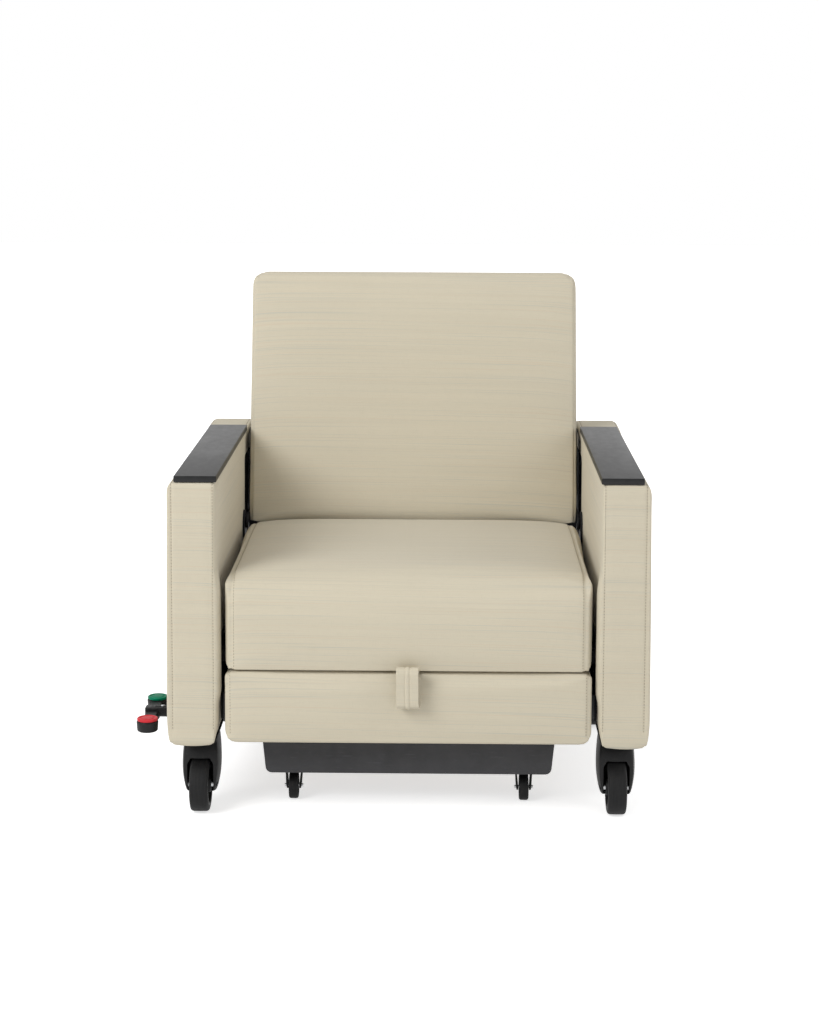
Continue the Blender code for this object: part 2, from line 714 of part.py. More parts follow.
    # Brake rod between the front and rear cranks
    eye_low, eye_high = LOCK_Z + CRANK_R - EYE_W / 2, LOCK_Z + CRANK_R + EYE_W / 2
    brake_rod = piece(
        f"brake_rod_{side}", "zinc", empty(f"brake_rod_slide_{side}", chair),
        rod(
            "Y", ROD_R, CASTER_FRONT_Y + EYE_W / 4, CASTER_REAR_Y - EYE_W / 4,
            (sign * (EYE_IN + EYE_T / 2), LOCK_Z + CRANK_R), sides=12,
        ),
    )
    for _, y in ENDS:
        join(
            brake_rod,
            side_box(sign, EYE_IN, EYE_IN + EYE_T, (y - EYE_W / 2, eye_low), (y + EYE_W / 2, eye_high)),
        )
    for _, y in ENDS:
        cut(
            brake_rod,
            rod(
                "X", CRANK_PIN_R + PIN_PLAY, sign * (EYE_IN - EYE_T), sign * (EYE_IN + 2 * EYE_T),
                (y, LOCK_Z + CRANK_R),
            ),
        )

    # Casters under the arm: fork, axle and wheel, each on its own axis
    for end, y in ENDS:
        swivel = empty(f"caster_swivel_{end}_{side}", chair, (sign * CASTER_X, y, 0.0))
        axle_axis = empty(f"caster_axle_axis_{end}_{side}", swivel, (0.0, -CASTER_TRAIL, WHEEL_R))
        head_top = CASTER_HEIGHT - SEAT_GAP
        half, tip = FORK_W / 2, WHEEL_R - FORK_BOSS_R
        side_loop = [(FORK_HEAD_R, head_top), (FORK_HEAD_R, head_top - FORK_HEAD_T)]
        side_loop += arc((-CASTER_TRAIL, WHEEL_R), FORK_BOSS_R, 15, -195, 8)
        side_loop += [
            (-CASTER_TRAIL - FORK_BOSS_R, head_top - 2 * FORK_HEAD_T),
            (-FORK_HEAD_R - FORK_BOSS_R / 2, head_top - FORK_HEAD_T / 2), (-FORK_HEAD_R, head_top),
        ]
        front_loop = []
        for i in range(9):
            rise = (i - 4) / 4
            draw_in = FORK_TOP_IN * rise ** 2 if rise > 0 else FORK_TIP_IN * rise ** 2
            front_loop.append((half - draw_in, tip + (head_top - tip) * i / 8))
        front_loop.append((front_loop[-1][0], head_top + FORK_HEAD_T))
        front_loop.insert(0, (front_loop[0][0], tip - FORK_HEAD_T))
        front_loop += [(-x, z) for x, z in reversed(front_loop)]
        fork = piece(
            f"caster_fork_{end}_{side}", "black_plastic", swivel, slab("X", [side_loop], -half, half)
        )
        reach = CASTER_TRAIL + WHEEL_R
        keep(fork, slab("Y", [front_loop], -reach, reach))
        cut(
            fork,
            rod(
                "X", WHEEL_R + FORK_WELL_CLEAR, -FORK_WELL_W / 2, FORK_WELL_W / 2,
                (-CASTER_TRAIL, WHEEL_R), sides=32,
            ),
            rod("X", AXLE_R + SEAT_GAP, -FORK_W, FORK_W, (-CASTER_TRAIL, WHEEL_R)),
        )
        join(
            fork,
            rod(
                "Z", STEM_R, head_top - FORK_HEAD_T / 2, PLATE_TOP + BOSS_HEIGHT - STEM_SHORT, (0.0, 0.0)
            ),
        )
        axle_half = half - AXLE_SHORT
        piece(
            f"caster_axle_{end}_{side}", "zinc", axle_axis,
            rod("X", AXLE_R, -axle_half, axle_half, (0.0, 0.0)),
        )
        edge, rim, web = WHEEL_W / 2, WHEEL_R - TYRE_T, WHEEL_W / 2 - WHEEL_DISH
        bore = AXLE_R + SEAT_GAP
        tread = TREAD_W / 2
        wheel_half = [
            (bore, edge), (HUB_R, edge), (HUB_R, web), (rim, web), (rim, edge),
            (WHEEL_R - TYRE_T / 2, edge), (WHEEL_R, tread),
        ]
        profile = wheel_half + [(r, -x) for r, x in reversed(wheel_half)]
        piece(f"caster_wheel_{end}_{side}", "tyre", axle_axis, turned(profile, WHEEL_SIDES))

# Seat: rails and deck between the side plates, and the cushion, whose front lip hides them
for end, y in (("front", RAIL_FRONT_Y), ("rear", RAIL_REAR_Y)):
    piece(
        f"seat_rail_{end}", "dark_steel", chair,
        box((-RAIL_HALF, y, RAIL_BOTTOM), (RAIL_HALF, y + RAIL_W, RAIL_TOP)),
    )
deck_half = SEAT_HALF - DECK_INSET
piece(
    "seat_deck", "board", chair,
    box((-deck_half, LIP_REAR + SEAT_GAP, DECK_BOTTOM), (deck_half, SEAT_REAR - DECK_INSET, DECK_TOP)),
)
cut(
    piece(
        "seat_cushion", "fabric", chair,
        stuffed(
            (-SEAT_HALF, -FRONT_PROUD, SEAT_BOTTOM), (SEAT_HALF, SEAT_REAR, SEAT_TOP), SEAT_ROUND,
            {(1, 2): SEAT_CROWN, (-1, 1): SEAT_FRONT_CROWN}, SEAT_FALL,
        ),
    ),
    box(
        (-2 * SEAT_HALF, LIP_REAR, SEAT_BOTTOM - SEAT_ROUND),
        (2 * SEAT_HALF, SEAT_REAR + SEAT_ROUND, DECK_TOP + SEAT_GAP),
    ),
)

# Rear of the base: a rail between the side plates and a cover behind the foot section
rear_rail_end = REAR_RAIL_Y + REAR_RAIL_W
piece(
    "rear_rail", "dark_steel", chair,
    box((-RAIL_HALF, REAR_RAIL_Y, REAR_RAIL_TOP - REAR_RAIL_H), (RAIL_HALF, rear_rail_end, REAR_RAIL_TOP)),
)
cover_half = PLATE_IN - REAR_COVER_INSET
piece(
    "rear_cover", "grey_paint", chair,
    box(
        (-cover_half, rear_rail_end + SEAT_GAP, REAR_RAIL_TOP - REAR_RAIL_H - REAR_COVER_DROP),
        (cover_half, rear_rail_end + SEAT_GAP + REAR_COVER_T, REAR_RAIL_TOP),
    ),
)

# Back, in the frame of its hinge: cushion, frame and rear cover
back_end = BACK_START + BACK_LENGTH
piece(
    "back_cushion", "fabric", back,
    stuffed(
        (-BACK_HALF, 0.0, BACK_START), (BACK_HALF, BACK_THICK, back_end), BACK_ROUND,
        {(-1, 1): BACK_CROWN},
    ),
)
frame_front = BACK_THICK + SEAT_GAP
frame_side, frame_low = BACK_HALF - BACK_COVER_RIM, BACK_START + BACK_COVER_RIM
frame_rear, frame_high = frame_front + BACK_FRAME_T, back_end - BACK_COVER_RIM
piece(
    "back_frame", "board", back,
    box((-frame_side, frame_front, frame_low), (frame_side, frame_rear, frame_high)),
)
cut(
    rounded(
        piece(
            "back_cover", "fabric", back,
            box((-BACK_HALF, frame_front, BACK_START), (BACK_HALF, BACK_REAR, back_end)),
        ),
        BACK_COVER_ROUND,
    ),
    box(
        (-frame_side - SEAT_GAP, frame_front - BACK_FRAME_T, frame_low - SEAT_GAP),
        (frame_side + SEAT_GAP, frame_rear + SEAT_GAP, frame_high + SEAT_GAP),
    ),
)

# Foot section: pad, deck, leg panel and pull strap
deck_side = FOOT_HALF - FOOT_DECK_EDGE
deck_rear = FOOT_REAR - FOOT_DECK_EDGE
cut(
    piece(
        "foot_pad", "fabric", foot,
        stuffed(
            (-FOOT_HALF, -FRONT_PROUD, FOOT_BOTTOM), (FOOT_HALF, FOOT_REAR, FOOT_TOP), FOOT_ROUND,
            {(1, 2): FOOT_CROWN, (-1, 1): FOOT_FRONT_CROWN},
        ),
    ),
    box(
        (-deck_side, FOOT_DECK_FRONT, FOOT_BOTTOM - FOOT_DECK_T),
        (deck_side, deck_rear, FOOT_BOTTOM + FOOT_DECK_T + SEAT_GAP),
    ),
)
piece(
    "foot_deck", "board", foot,
    box(
        (SEAT_GAP - deck_side, FOOT_DECK_FRONT + SEAT_GAP, FOOT_BOTTOM),
        (deck_side - SEAT_GAP, deck_rear - SEAT_GAP, FOOT_BOTTOM + FOOT_DECK_T),
    ),
)
panel_low, panel_back = SMALL_HEIGHT - LEG_PANEL_SKIRT, LEG_PANEL_Y + LEG_PANEL_T
leg_loop = [
    (LEG_PANEL_Y, panel_low), (panel_back, panel_low), (panel_back, SMALL_HEIGHT),
    (LEG_PANEL_Y + LEG_LOW_FLANGE, SMALL_HEIGHT), (LEG_PANEL_Y + LEG_LOW_FLANGE, SMALL_HEIGHT + LEG_PANEL_T),
    (panel_back, SMALL_HEIGHT + LEG_PANEL_T), (panel_back, RUNNER_TOP - LEG_PANEL_T),
    (LEG_PANEL_Y + LEG_TOP_FLANGE, RUNNER_TOP - LEG_PANEL_T), (LEG_PANEL_Y + LEG_TOP_FLANGE, RUNNER_TOP),
    (LEG_PANEL_Y, RUNNER_TOP),
]
low_half = LEG_PANEL_HALF - LEG_PANEL_TAPER
face_loop = [(LEG_PANEL_HALF, RUNNER_TOP + LEG_PANEL_T)]
face_loop += arc((low_half - LEG_PANEL_ROUND, panel_low + LEG_PANEL_ROUND), LEG_PANEL_ROUND, 0, -90)
face_loop += [(-x, z) for x, z in reversed(face_loop)]
leg_panel = piece(
    "leg_panel", "grey_paint", foot, slab("X", [leg_loop], -LEG_PANEL_HALF, LEG_PANEL_HALF)
)
keep(leg_panel, slab("Y", [face_loop], LEG_PANEL_Y - LEG_PANEL_T, LEG_PANEL_Y + 2 * LEG_LOW_FLANGE))

strap_top = SEAT_BOTTOM - STRAP_GAP
strap_low = strap_top - STRAP_DROP
strap_back = -FRONT_PROUD - STRAP_GAP
strap_front = strap_back - STRAP_STAND
turn_up, turn_down = STRAP_TOP_ROUND, STRAP_LOW_ROUND
loop = [(STRAP_TAIL, FOOT_TOP + STRAP_GAP), (STRAP_TAIL, strap_top)]
loop += arc((strap_front + turn_up, strap_top - turn_up), turn_up, 90, 180)
loop += arc((strap_front + turn_down, strap_low + turn_down), turn_down, 180, 270)
loop += arc((strap_back - turn_down, strap_low + turn_down), turn_down, 270, 360)
loop += [(strap_back, FOOT_TOP + STRAP_GAP)]
hole_up, hole_down = turn_up - STRAP_T, turn_down - STRAP_T
hole_top = FOOT_TOP + STRAP_GAP - STRAP_T
hole = [(strap_back - STRAP_T, hole_top)]
hole += arc((strap_front + turn_up, hole_top - hole_up), hole_up, 90, 180)
hole += arc((strap_front + turn_down, strap_low + turn_down), hole_down, 180, 270)
hole += arc((strap_back - turn_down, strap_low + turn_down), hole_down, 270, 360)
piece("pull_strap", "fabric", foot, slab("X", [loop, hole], -STRAP_W / 2, STRAP_W / 2))

# Small casters under the leg panel
for side, sign in SIDES:
    swivel = empty(f"leg_caster_swivel_{side}", foot, (sign * SMALL_X, SMALL_Y, 0.0))
    axle_axis = empty(f"leg_caster_axle_axis_{side}", swivel, (0.0, -SMALL_TRAIL, SMALL_R))
    crown_top = SMALL_HEIGHT - SEAT_GAP
    crown_low = crown_top - SMALL_CROWN_T
    half = SMALL_FORK_W / 2
    leg_side = [(SMALL_CROWN_R, crown_top), (SMALL_CROWN_R, crown_low)]
    leg_side += arc((-SMALL_TRAIL, SMALL_R), SMALL_BOSS_R, 20, -200, 6)
    leg_side += [(-SMALL_CROWN_R, crown_low), (-SMALL_CROWN_R, crown_top)]
    fork = piece(
        f"leg_caster_fork_{side}", "black_plastic", swivel, slab("X", [leg_side], -half, half)
    )
    cut(
        fork,
        box(
            (SMALL_LEG_T - half, -SMALL_TRAIL - 2 * SMALL_R, -SMALL_R),
            (half - SMALL_LEG_T, SMALL_TRAIL + 2 * SMALL_R, crown_low),
        ),
        rod("X", SMALL_AXLE_R + SEAT_GAP, -SMALL_FORK_W, SMALL_FORK_W, (-SMALL_TRAIL, SMALL_R), sides=16),
    )
    join(
        fork,
        rod(
            "Z", SMALL_STEM_R, crown_top - SMALL_CROWN_T / 2, SMALL_HEIGHT + LEG_PANEL_T + SMALL_STEM_UP,
            (0.0, 0.0), sides=16,
        ),
    )
    cut(
        leg_panel,
        rod(
            "Z", SMALL_STEM_R + RUN_GAP, SMALL_HEIGHT - LEG_PANEL_T, SMALL_HEIGHT + 2 * LEG_PANEL_T,
            (sign * SMALL_X, SMALL_Y), sides=16,
        ),
    )
    piece(
        f"leg_caster_axle_{side}", "zinc", axle_axis,
        rod("X", SMALL_AXLE_R, -half, half, (0.0, 0.0), sides=16),
    )
    edge, bore = SMALL_W / 2, SMALL_AXLE_R + SEAT_GAP
    wheel_half = [(bore, edge), (SMALL_R - edge / 3, edge), (SMALL_R, edge * 2 / 3)]
    profile = wheel_half + [(r, -x) for r, x in reversed(wheel_half)]
    piece(f"leg_caster_wheel_{side}", "tyre", axle_axis, turned(profile, SMALL_SIDES))

# Brake linkage: pedal shaft, right front shaft and the bar between the rear casters
shaft_in = CASTER_X - SHAFT_HALF
hub_in = BUSH_OUT + RUN_GAP
hub_out = hub_in + PEDAL_HUB_L
brake_shaft("pedal_shaft", "zinc", pedal, -shaft_in, -hub_out, (-1,))
brake_shaft("brake_shaft_right", "zinc", right_axis, shaft_in, CASTER_X + SHAFT_HALF, (1,))
brake_shaft("brake_bar_rear", "zinc", rear_axis, -CASTER_X - SHAFT_HALF, CASTER_X + SHAFT_HALF, (-1, 1))

# Pedal: bush in the arm, rocking lever, red pad in front and green pad behind
bush_r = SHAFT_R + RUN_GAP + BUSH_WALL
flange_in = HALF_WIDTH + SEAT_GAP
bush_in = CASTER_X + CHAMBER_HALF
bush_axis = (CASTER_FRONT_Y, LOCK_Z)
bush = piece("pedal_bush", "black_plastic", chair, rod("X", bush_r, -bush_in, -BUSH_OUT, bush_axis))
join(bush, rod("X", bush_r + BUSH_FLANGE, -flange_in, -BUSH_OUT, bush_axis))
cut(bush, rod("X", SHAFT_R + RUN_GAP, -CASTER_X, -2 * HALF_WIDTH, bush_axis))
lever = piece(
    "pedal_lever", "black_plastic", pedal, rod("X", PEDAL_HUB_R, -hub_in, -hub_out, (0.0, 0.0), sides=24)
)
pad_x = -HALF_WIDTH - PEDAL_OUT
join(
    lever,
    box(
        (pad_x - LEVER_W / 2, -PEDAL_REACH, CUP_TOP - LEVER_T - SEAT_GAP),
        (pad_x + LEVER_W / 2, PEDAL_REACH, CUP_TOP - SEAT_GAP),
    ),
)
for y in (-PEDAL_REACH, PEDAL_REACH):
    join(lever, rod("Z", PAD_R + CUP_WALL, CUP_TOP - CUP_DEPTH, CUP_TOP, (pad_x, y), sides=24))
cut(
    lever,
    rod("X", SHAFT_R + SEAT_GAP, -hub_in + RUN_GAP, -hub_out - PEDAL_HUB_WALL, (0.0, 0.0), sides=6),
    rod("X", SHAFT_R + SEAT_GAP, -BUSH_OUT, -hub_in - PEDAL_HUB_WALL, (0.0, 0.0), sides=6),
)
for name, y in (("red", -PEDAL_REACH), ("green", PEDAL_REACH)):
    pad_low = CUP_TOP + SEAT_GAP
    rounded(
        piece(
            f"{name}_pedal_pad", name, pedal, rod("Z", PAD_R, pad_low, pad_low + PAD_T, (pad_x, y), sides=28)
        ),
        PAD_ROUND,
    )
screw_low = PEDAL_HUB_R + SEAT_GAP
piece(
    "pedal_screw", "zinc", pedal,
    rod("Z", SCREW_R, screw_low, screw_low + SCREW_HEAD, (-HALF_WIDTH - SCREW_OUT, 0.0), sides=12),
)

# The middle of the footprint goes to the origin
graph = bpy.context.evaluated_depsgraph_get()
points = []
for obj in parts.objects:
    if obj.type != "EMPTY":
        solid = obj.evaluated_get(graph)
        points += [solid.matrix_world @ vert.co for vert in solid.to_mesh().vertices]
        solid.to_mesh_clear()
for i in range(2):
    values = [point[i] for point in points]
    chair.location[i] = -(min(values) + max(values)) / 2
print("footprint middle moved by", [round(value, 5) for value in chair.location])
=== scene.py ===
"""Looks of a hospital sleep chair: stuffed and stitched cushions, arm caps, casters, brake pedal,
pull strap and the finishes of its steelwork, on a plain studio floor.

Metres, +Z up, the chair faces -Y. Left and right are as seen from the front.
"""

import json
import math

import bpy
import numpy as np
from bpy.props import FloatProperty, FloatVectorProperty, IntProperty, PointerProperty
from mathutils import Matrix, Vector
from mathutils.bvhtree import BVHTree


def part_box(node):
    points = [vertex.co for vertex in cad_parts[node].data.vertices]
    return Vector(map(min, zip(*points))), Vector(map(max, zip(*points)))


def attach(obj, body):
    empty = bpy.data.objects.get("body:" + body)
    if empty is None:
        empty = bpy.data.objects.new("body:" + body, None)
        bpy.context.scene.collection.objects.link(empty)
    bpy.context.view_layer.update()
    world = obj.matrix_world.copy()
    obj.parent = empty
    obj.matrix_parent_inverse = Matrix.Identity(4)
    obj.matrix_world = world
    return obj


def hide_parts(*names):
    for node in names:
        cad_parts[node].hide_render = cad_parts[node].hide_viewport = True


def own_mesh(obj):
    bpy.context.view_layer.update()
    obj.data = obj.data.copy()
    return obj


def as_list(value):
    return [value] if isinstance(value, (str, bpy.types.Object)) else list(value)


bl_info = {
    "name": "Sleep chair looks",
    "version": (1, 0, 0),
    "blender": (4, 5, 0),
    "location": "View3D > Sidebar > Sleep chair",
    "description": "Upholstery, casters, pedal and finishes of a hospital sleep chair",
    "category": "Object",
}

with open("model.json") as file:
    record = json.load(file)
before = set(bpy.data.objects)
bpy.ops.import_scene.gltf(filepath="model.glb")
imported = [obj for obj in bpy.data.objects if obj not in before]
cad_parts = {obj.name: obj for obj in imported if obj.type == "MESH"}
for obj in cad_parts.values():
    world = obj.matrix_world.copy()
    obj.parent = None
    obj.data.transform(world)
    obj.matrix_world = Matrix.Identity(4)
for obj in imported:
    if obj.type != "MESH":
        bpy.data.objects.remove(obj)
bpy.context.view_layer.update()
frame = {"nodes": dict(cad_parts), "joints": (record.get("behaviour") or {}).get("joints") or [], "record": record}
JOINTS = {joint["name"]: joint for joint in frame["joints"]}
PIVOTS = {name: Vector(joint["pos_m"]) for name, joint in JOINTS.items() if "pos_m" in joint}
HINGE = PIVOTS["back_recline"]
LEAN = math.radians(90.0 - JOINTS["back_recline"]["range_deg"][1])
UPRIGHT = Matrix.Translation(HINGE) @ Matrix.Rotation(LEAN, 4, "X") @ Matrix.Translation(-HINGE)
LEANT = UPRIGHT.inverted()
SIDES = (("left", -1), ("right", 1))
CASTER_SPOTS = ("front_left", "front_right", "rear_left", "rear_right")


def size(label, about, value):
    return FloatProperty(name=label, description=about, default=value, min=0.0, precision=4, unit="LENGTH")


def number(label, about, value, **limits):
    return FloatProperty(name=label, description=about, default=value, **limits)


def paint(label, about, value):
    return FloatVectorProperty(
        name=label, description=about, default=value, size=3, min=0.0, max=1.0, subtype="COLOR"
    )


class ClothSettings(bpy.types.PropertyGroup):
    ground: paint("Ground", "Main colour of the upholstery cloth", (0.602, 0.548, 0.426))
    cool_slub: paint("Cool slubs", "Colour of the blue-grey streaks", (0.430, 0.440, 0.395))
    warm_slub: paint("Warm slubs", "Colour of the beige streaks", (0.600, 0.485, 0.350))
    thread: paint("Sewing thread", "Colour of the stitches", (0.300, 0.250, 0.175))
    pitch: size("Thread pitch", "Distance between the threads of the weave", 0.0011)
    stitch_pitch: size("Stitch pitch", "Distance from stitch to stitch", 0.0056)
    stitch_length: size("Stitch length", "Length of one stitch", 0.0034)
    stitch_thick: size("Stitch thickness", "Thickness of one stitch", 0.0013)


class PaddingSettings(bpy.types.PropertyGroup):
    cuts: IntProperty(name="Cuts", description="Rows of points across each pad", default=47, min=9)
    pressure: number("Stuffing", "Pressure that swells the pads", 4.0, min=0.0)
    groove: size("Seam depth", "How far a seam draws the cloth in", 0.0022)
    seat_rise: size("Seat crown", "How far the seat's top may swell", 0.010)
    seat_front: size("Seat front swell", "How far the seat's front may swell", 0.009)
    seat_roll: size("Seat roll", "Radius of the seat's front roll", 0.056)
    back_swell: size("Back swell", "How far the back's face may swell", 0.010)
    foot_swell: size("Foot pad swell", "How far the foot pad's front and top may swell", 0.006)
    arm_swell: size("Arm swell", "How far the arms' faces may swell", 0.0008)
    arm_lift: size("Arm lift", "How far the arms' stuffing lifts their caps", 0.005)
    pressed: number("Pressed back", "Share of its height that the flat back keeps", 0.985, min=0.9, max=1.0)


class FinishSettings(bpy.types.PropertyGroup):
    cap: paint("Arm cap", "Colour of the arm caps", (0.0050, 0.0050, 0.0053))
    panel: paint("Leg panel", "Colour of the painted leg panel", (0.070, 0.070, 0.074))
    steel: paint("Black steel", "Colour of the powder-coated steel", (0.014, 0.014, 0.015))
    moulded: paint("Black plastic", "Colour of the moulded black parts", (0.0075, 0.0075, 0.0078))
    tread: paint("Tread", "Colour of the wheels' treads", (0.0085, 0.0085, 0.0088))
    red: paint("Red pad", "Colour of the brake pad", (0.58, 0.032, 0.042))
    green: paint("Green pad", "Colour of the release pad", (0.001, 0.170, 0.090))
    zinc: paint("Zinc", "Colour of the bright plated steel", (0.58, 0.59, 0.60))
    black_zinc: paint("Black zinc", "Colour of the black plated slides", (0.045, 0.045, 0.048))
    lining: paint("Lining", "Colour of the black lining cloth", (0.010, 0.010, 0.011))
    board: paint("Plywood", "Colour of the plywood", (0.50, 0.35, 0.20))


class StageSettings(bpy.types.PropertyGroup):
    distance: size("Camera distance", "Camera to the arms' front faces", 3.8907)
    height: size("Camera height", "Camera above the floor", 1.3198)
    aside: size("Camera offset", "Camera to the right of the chair's middle", 0.0570)
    focus: number("Lens", "Focal length for a 36 mm high picture", 76.387, min=1.0)
    pitch: number("Pitch", "Camera's tilt down, in degrees", 6.436)
    yaw: number("Yaw", "Camera's turn to the left, in degrees", 0.832)
    roll: number("Roll", "Camera's turn about its view, in degrees", 0.203)
    rise: number("Shift", "Picture's shift, as a share of its height", -0.16)
    floor: paint("Floor", "Colour of the floor", (0.86, 0.86, 0.86))
    glow: number("Floor glow", "Light that the floor adds to its own", 0.62, min=0.0)
    key: number("Key light", "Power of the main light", 122.0, unit="POWER")
    fill: number("Sky", "Strength of the light from all around", 0.60, min=0.0)


class ChairSettings(bpy.types.PropertyGroup):
    cloth: PointerProperty(type=ClothSettings)
    padding: PointerProperty(type=PaddingSettings)
    finish: PointerProperty(type=FinishSettings)
    stage: PointerProperty(type=StageSettings)


def settings():
    return bpy.context.scene.sleep_chair


# Shaders

class Wire:
    """A shader value that Python's arithmetic works on."""

    def __init__(self, finish, socket):
        self.finish = finish
        self.socket = socket

    def math(self, operation, *values):
        return self.finish.node("ShaderNodeMath", {"operation": operation}, dict(enumerate(values)))

    def __add__(self, other):
        return self.math("ADD", self, other)

    def __sub__(self, other):
        return self.math("SUBTRACT", self, other)

    def __rsub__(self, other):
        return self.math("SUBTRACT", other, self)

    def __mul__(self, other):
        return self.math("MULTIPLY", self, other)

    __radd__ = __add__
    __rmul__ = __mul__

    def sine(self):
        return self.math("SINE", self)

    def between(self, low, high):
        """0 below low, 1 above high, and a smooth rise in between."""
        return self.finish.node(
            "ShaderNodeMapRange", {"interpolation_type": "SMOOTHSTEP"},
            {"Value": self, "From Min": low, "From Max": high},
        )


class Finish:
    """A shader tree under construction: a new material's, or the world's."""

    def __init__(self, owner, shader="Principled BSDF"):
        if isinstance(owner, str):
            owner = bpy.data.materials.new(owner)
        owner.use_nodes = True
        self.material = owner
        self.tree = owner.node_tree
        self.shader = self.tree.nodes[shader]

    def node(self, kind, options=None, values=None, output=0):
        made = self.tree.nodes.new(kind)
        for key, value in (options or {}).items():
            setattr(made, key, value)
        for key, value in (values or {}).items():
            self.feed(made.inputs[key], value)
        return Wire(self, made.outputs[output])

    def feed(self, socket, value):
        if isinstance(value, Wire):
            self.tree.links.new(value.socket, socket)
        else:
            socket.default_value = value

    def set(self, **values):
        for key, value in values.items():
            self.feed(self.shader.inputs[key.replace("_", " ").title().replace("Ior", "IOR")], value)
        return self

    def place(self):
        return self.node("ShaderNodeTexCoord", output=3)

    def weave(self):
        return self.node("ShaderNodeUVMap", {"uv_map": "weave"})

    def stretched(self, vector, scale, shift=(0.0, 0.0, 0.0)):
        return self.node("ShaderNodeMapping", None, {"Vector": vector, "Scale": scale, "Location": shift})

    def noise(self, vector, scale=1.0, detail=2.0, rough=0.5):
        values = {"Vector": vector, "Scale": scale, "Detail": detail, "Roughness": rough}
        return self.node("ShaderNodeTexNoise", None, values)

    def cells(self, vector, scale, feature):
        return self.node("ShaderNodeTexVoronoi", {"feature": feature}, {"Vector": vector, "Scale": scale})

    def mix(self, first, second, share):
        return self.node("ShaderNodeMix", {"data_type": "RGBA"}, {0: share, 6: first, 7: second}, 2)

    def part(self, vector, index):
        return self.node("ShaderNodeSeparateXYZ", None, {0: vector}, index)

    def seen(self):
        """1 for what the camera sees, straight or in a reflection, else 0."""
        kinds = ("Is Camera Ray", "Is Glossy Ray", "Is Transmission Ray")
        first, second, third = [self.node("ShaderNodeLightPath", output=kind) for kind in kinds]
        return first + second + third

    def bump(self, height, depth, strength=1.0):
        values = {"Height": height, "Distance": depth, "Strength": strength}
        return self.node("ShaderNodeBump", None, values)


def rgba(colour, gain=1.0):
    return (*[min(1.0, part * gain) for part in colour], 1.0)


def woven_cloth():
    """Cream upholstery: a fine plain weave with long slubs that lie across it."""
    cloth = settings().cloth
    f = Finish("woven_cloth")
    at = f.weave()
    cool = f.noise(f.stretched(at, (1.9, 640.0, 1.0)), detail=1.0).between(0.60, 0.72)
    warm = f.noise(f.stretched(at, (1.7, 540.0, 1.0), (7.0, 3.0, 0.0)), detail=1.0).between(0.58, 0.72)
    bands = f.noise(f.stretched(at, (1.5, 60.0, 1.0), (2.0, 9.0, 0.0)), detail=2.0)
    yarn = f.noise(f.stretched(at, (45.0, 900.0, 1.0)), detail=1.0)
    pick = f.noise(f.stretched(at, (900.0, 60.0, 1.0)), detail=1.0)
    turn = 2.0 * math.pi / cloth.pitch
    threads = (f.part(at, 0) * turn).sine() * (f.part(at, 1) * turn).sine()
    soil = f.noise(f.place(), 3.5, detail=4.0)
    shade = f.mix(rgba(cloth.ground, 0.985), rgba(cloth.ground, 1.015), bands.between(0.34, 0.66))
    shade = f.mix(shade, rgba(cloth.cool_slub), cool * 0.64)
    shade = f.mix(shade, rgba(cloth.warm_slub), warm * 0.52)
    grain = yarn.between(0.5, 0.75) + pick.between(0.55, 0.8)
    shade = f.mix(shade, rgba(cloth.ground, 0.84), grain * 0.26)
    shade = f.mix(shade, rgba(cloth.ground, 0.92), soil.between(0.52, 0.78) * 0.20)
    height = threads * 0.5 + cool * 0.8 + yarn * 0.9 + pick * 0.5
    f.set(base_color=shade, roughness=0.80 + threads * 0.05, normal=f.bump(height, 0.00022, 0.5))
    f.set(sheen_weight=0.18, sheen_roughness=0.45, specular_ior_level=0.30)
    return f.material


def sewing_thread():
    """Twisted polyester thread."""
    f = Finish("sewing_thread")
    twist = (f.part(f.place(), 2) * 5200.0 + f.part(f.place(), 0) * 3000.0).sine()
    fuzz = f.noise(f.place(), 900.0)
    colour = settings().cloth.thread
    f.set(base_color=f.mix(rgba(colour, 0.8), rgba(colour), fuzz.between(0.35, 0.6)))
    f.set(roughness=0.62 + twist * 0.06, normal=f.bump(twist + fuzz, 0.00008, 0.6), sheen_weight=0.2)
    return f.material


def cap_skin():
    """Self-skinned arm cap: fine pebble grain, rubbed in patches."""
    f = Finish("cap_skin")
    at = f.place()
    grain = f.cells(at, 620.0, "SMOOTH_F1")
    mottle = f.noise(f.stretched(at, (1.0, 0.45, 1.0)), 70.0, detail=5.0, rough=0.62)
    rub = f.noise(f.stretched(at, (1.0, 0.3, 1.0)), 9.0, detail=4.0).between(0.45, 0.75)
    scratch = f.noise(f.stretched(at, (260.0, 14.0, 40.0)), detail=2.0).between(0.66, 0.74)
    colour = settings().finish.cap
    shade = f.mix(rgba(colour, 0.75), rgba(colour, 1.55), mottle.between(0.32, 0.70))
    shade = f.mix(shade, rgba(colour, 2.3), rub * 0.16 + scratch * 0.15)
    f.set(base_color=shade, roughness=0.33 - rub * 0.06 + mottle * 0.12)
    f.set(normal=f.bump(grain + mottle * 1.4, 0.00016, 0.40), specular_ior_level=0.28)
    return f.material


def powder_coat(name, colour):
    """Powder-coated steel: slight orange peel, dull scuffs and a trace of dust."""
    f = Finish(name)
    at = f.place()
    peel = f.noise(at, 420.0, detail=2.0)
    cloud = f.noise(at, 7.0, detail=5.0, rough=0.6)
    scuff = f.noise(f.stretched(at, (30.0, 30.0, 240.0)), detail=3.0).between(0.62, 0.72)
    dust = f.noise(at, 38.0, detail=6.0, rough=0.7).between(0.50, 0.80)
    shade = f.mix(rgba(colour, 0.86), rgba(colour, 1.14), cloud.between(0.3, 0.7))
    shade = f.mix(shade, rgba(colour, 1.9), scuff * 0.22 + dust * 0.10)
    f.set(base_color=shade, roughness=0.58 + cloud * 0.10 + scuff * 0.08)
    f.set(normal=f.bump(peel + scuff * 0.4, 0.00012, 0.5), specular_ior_level=0.12)
    return f.material


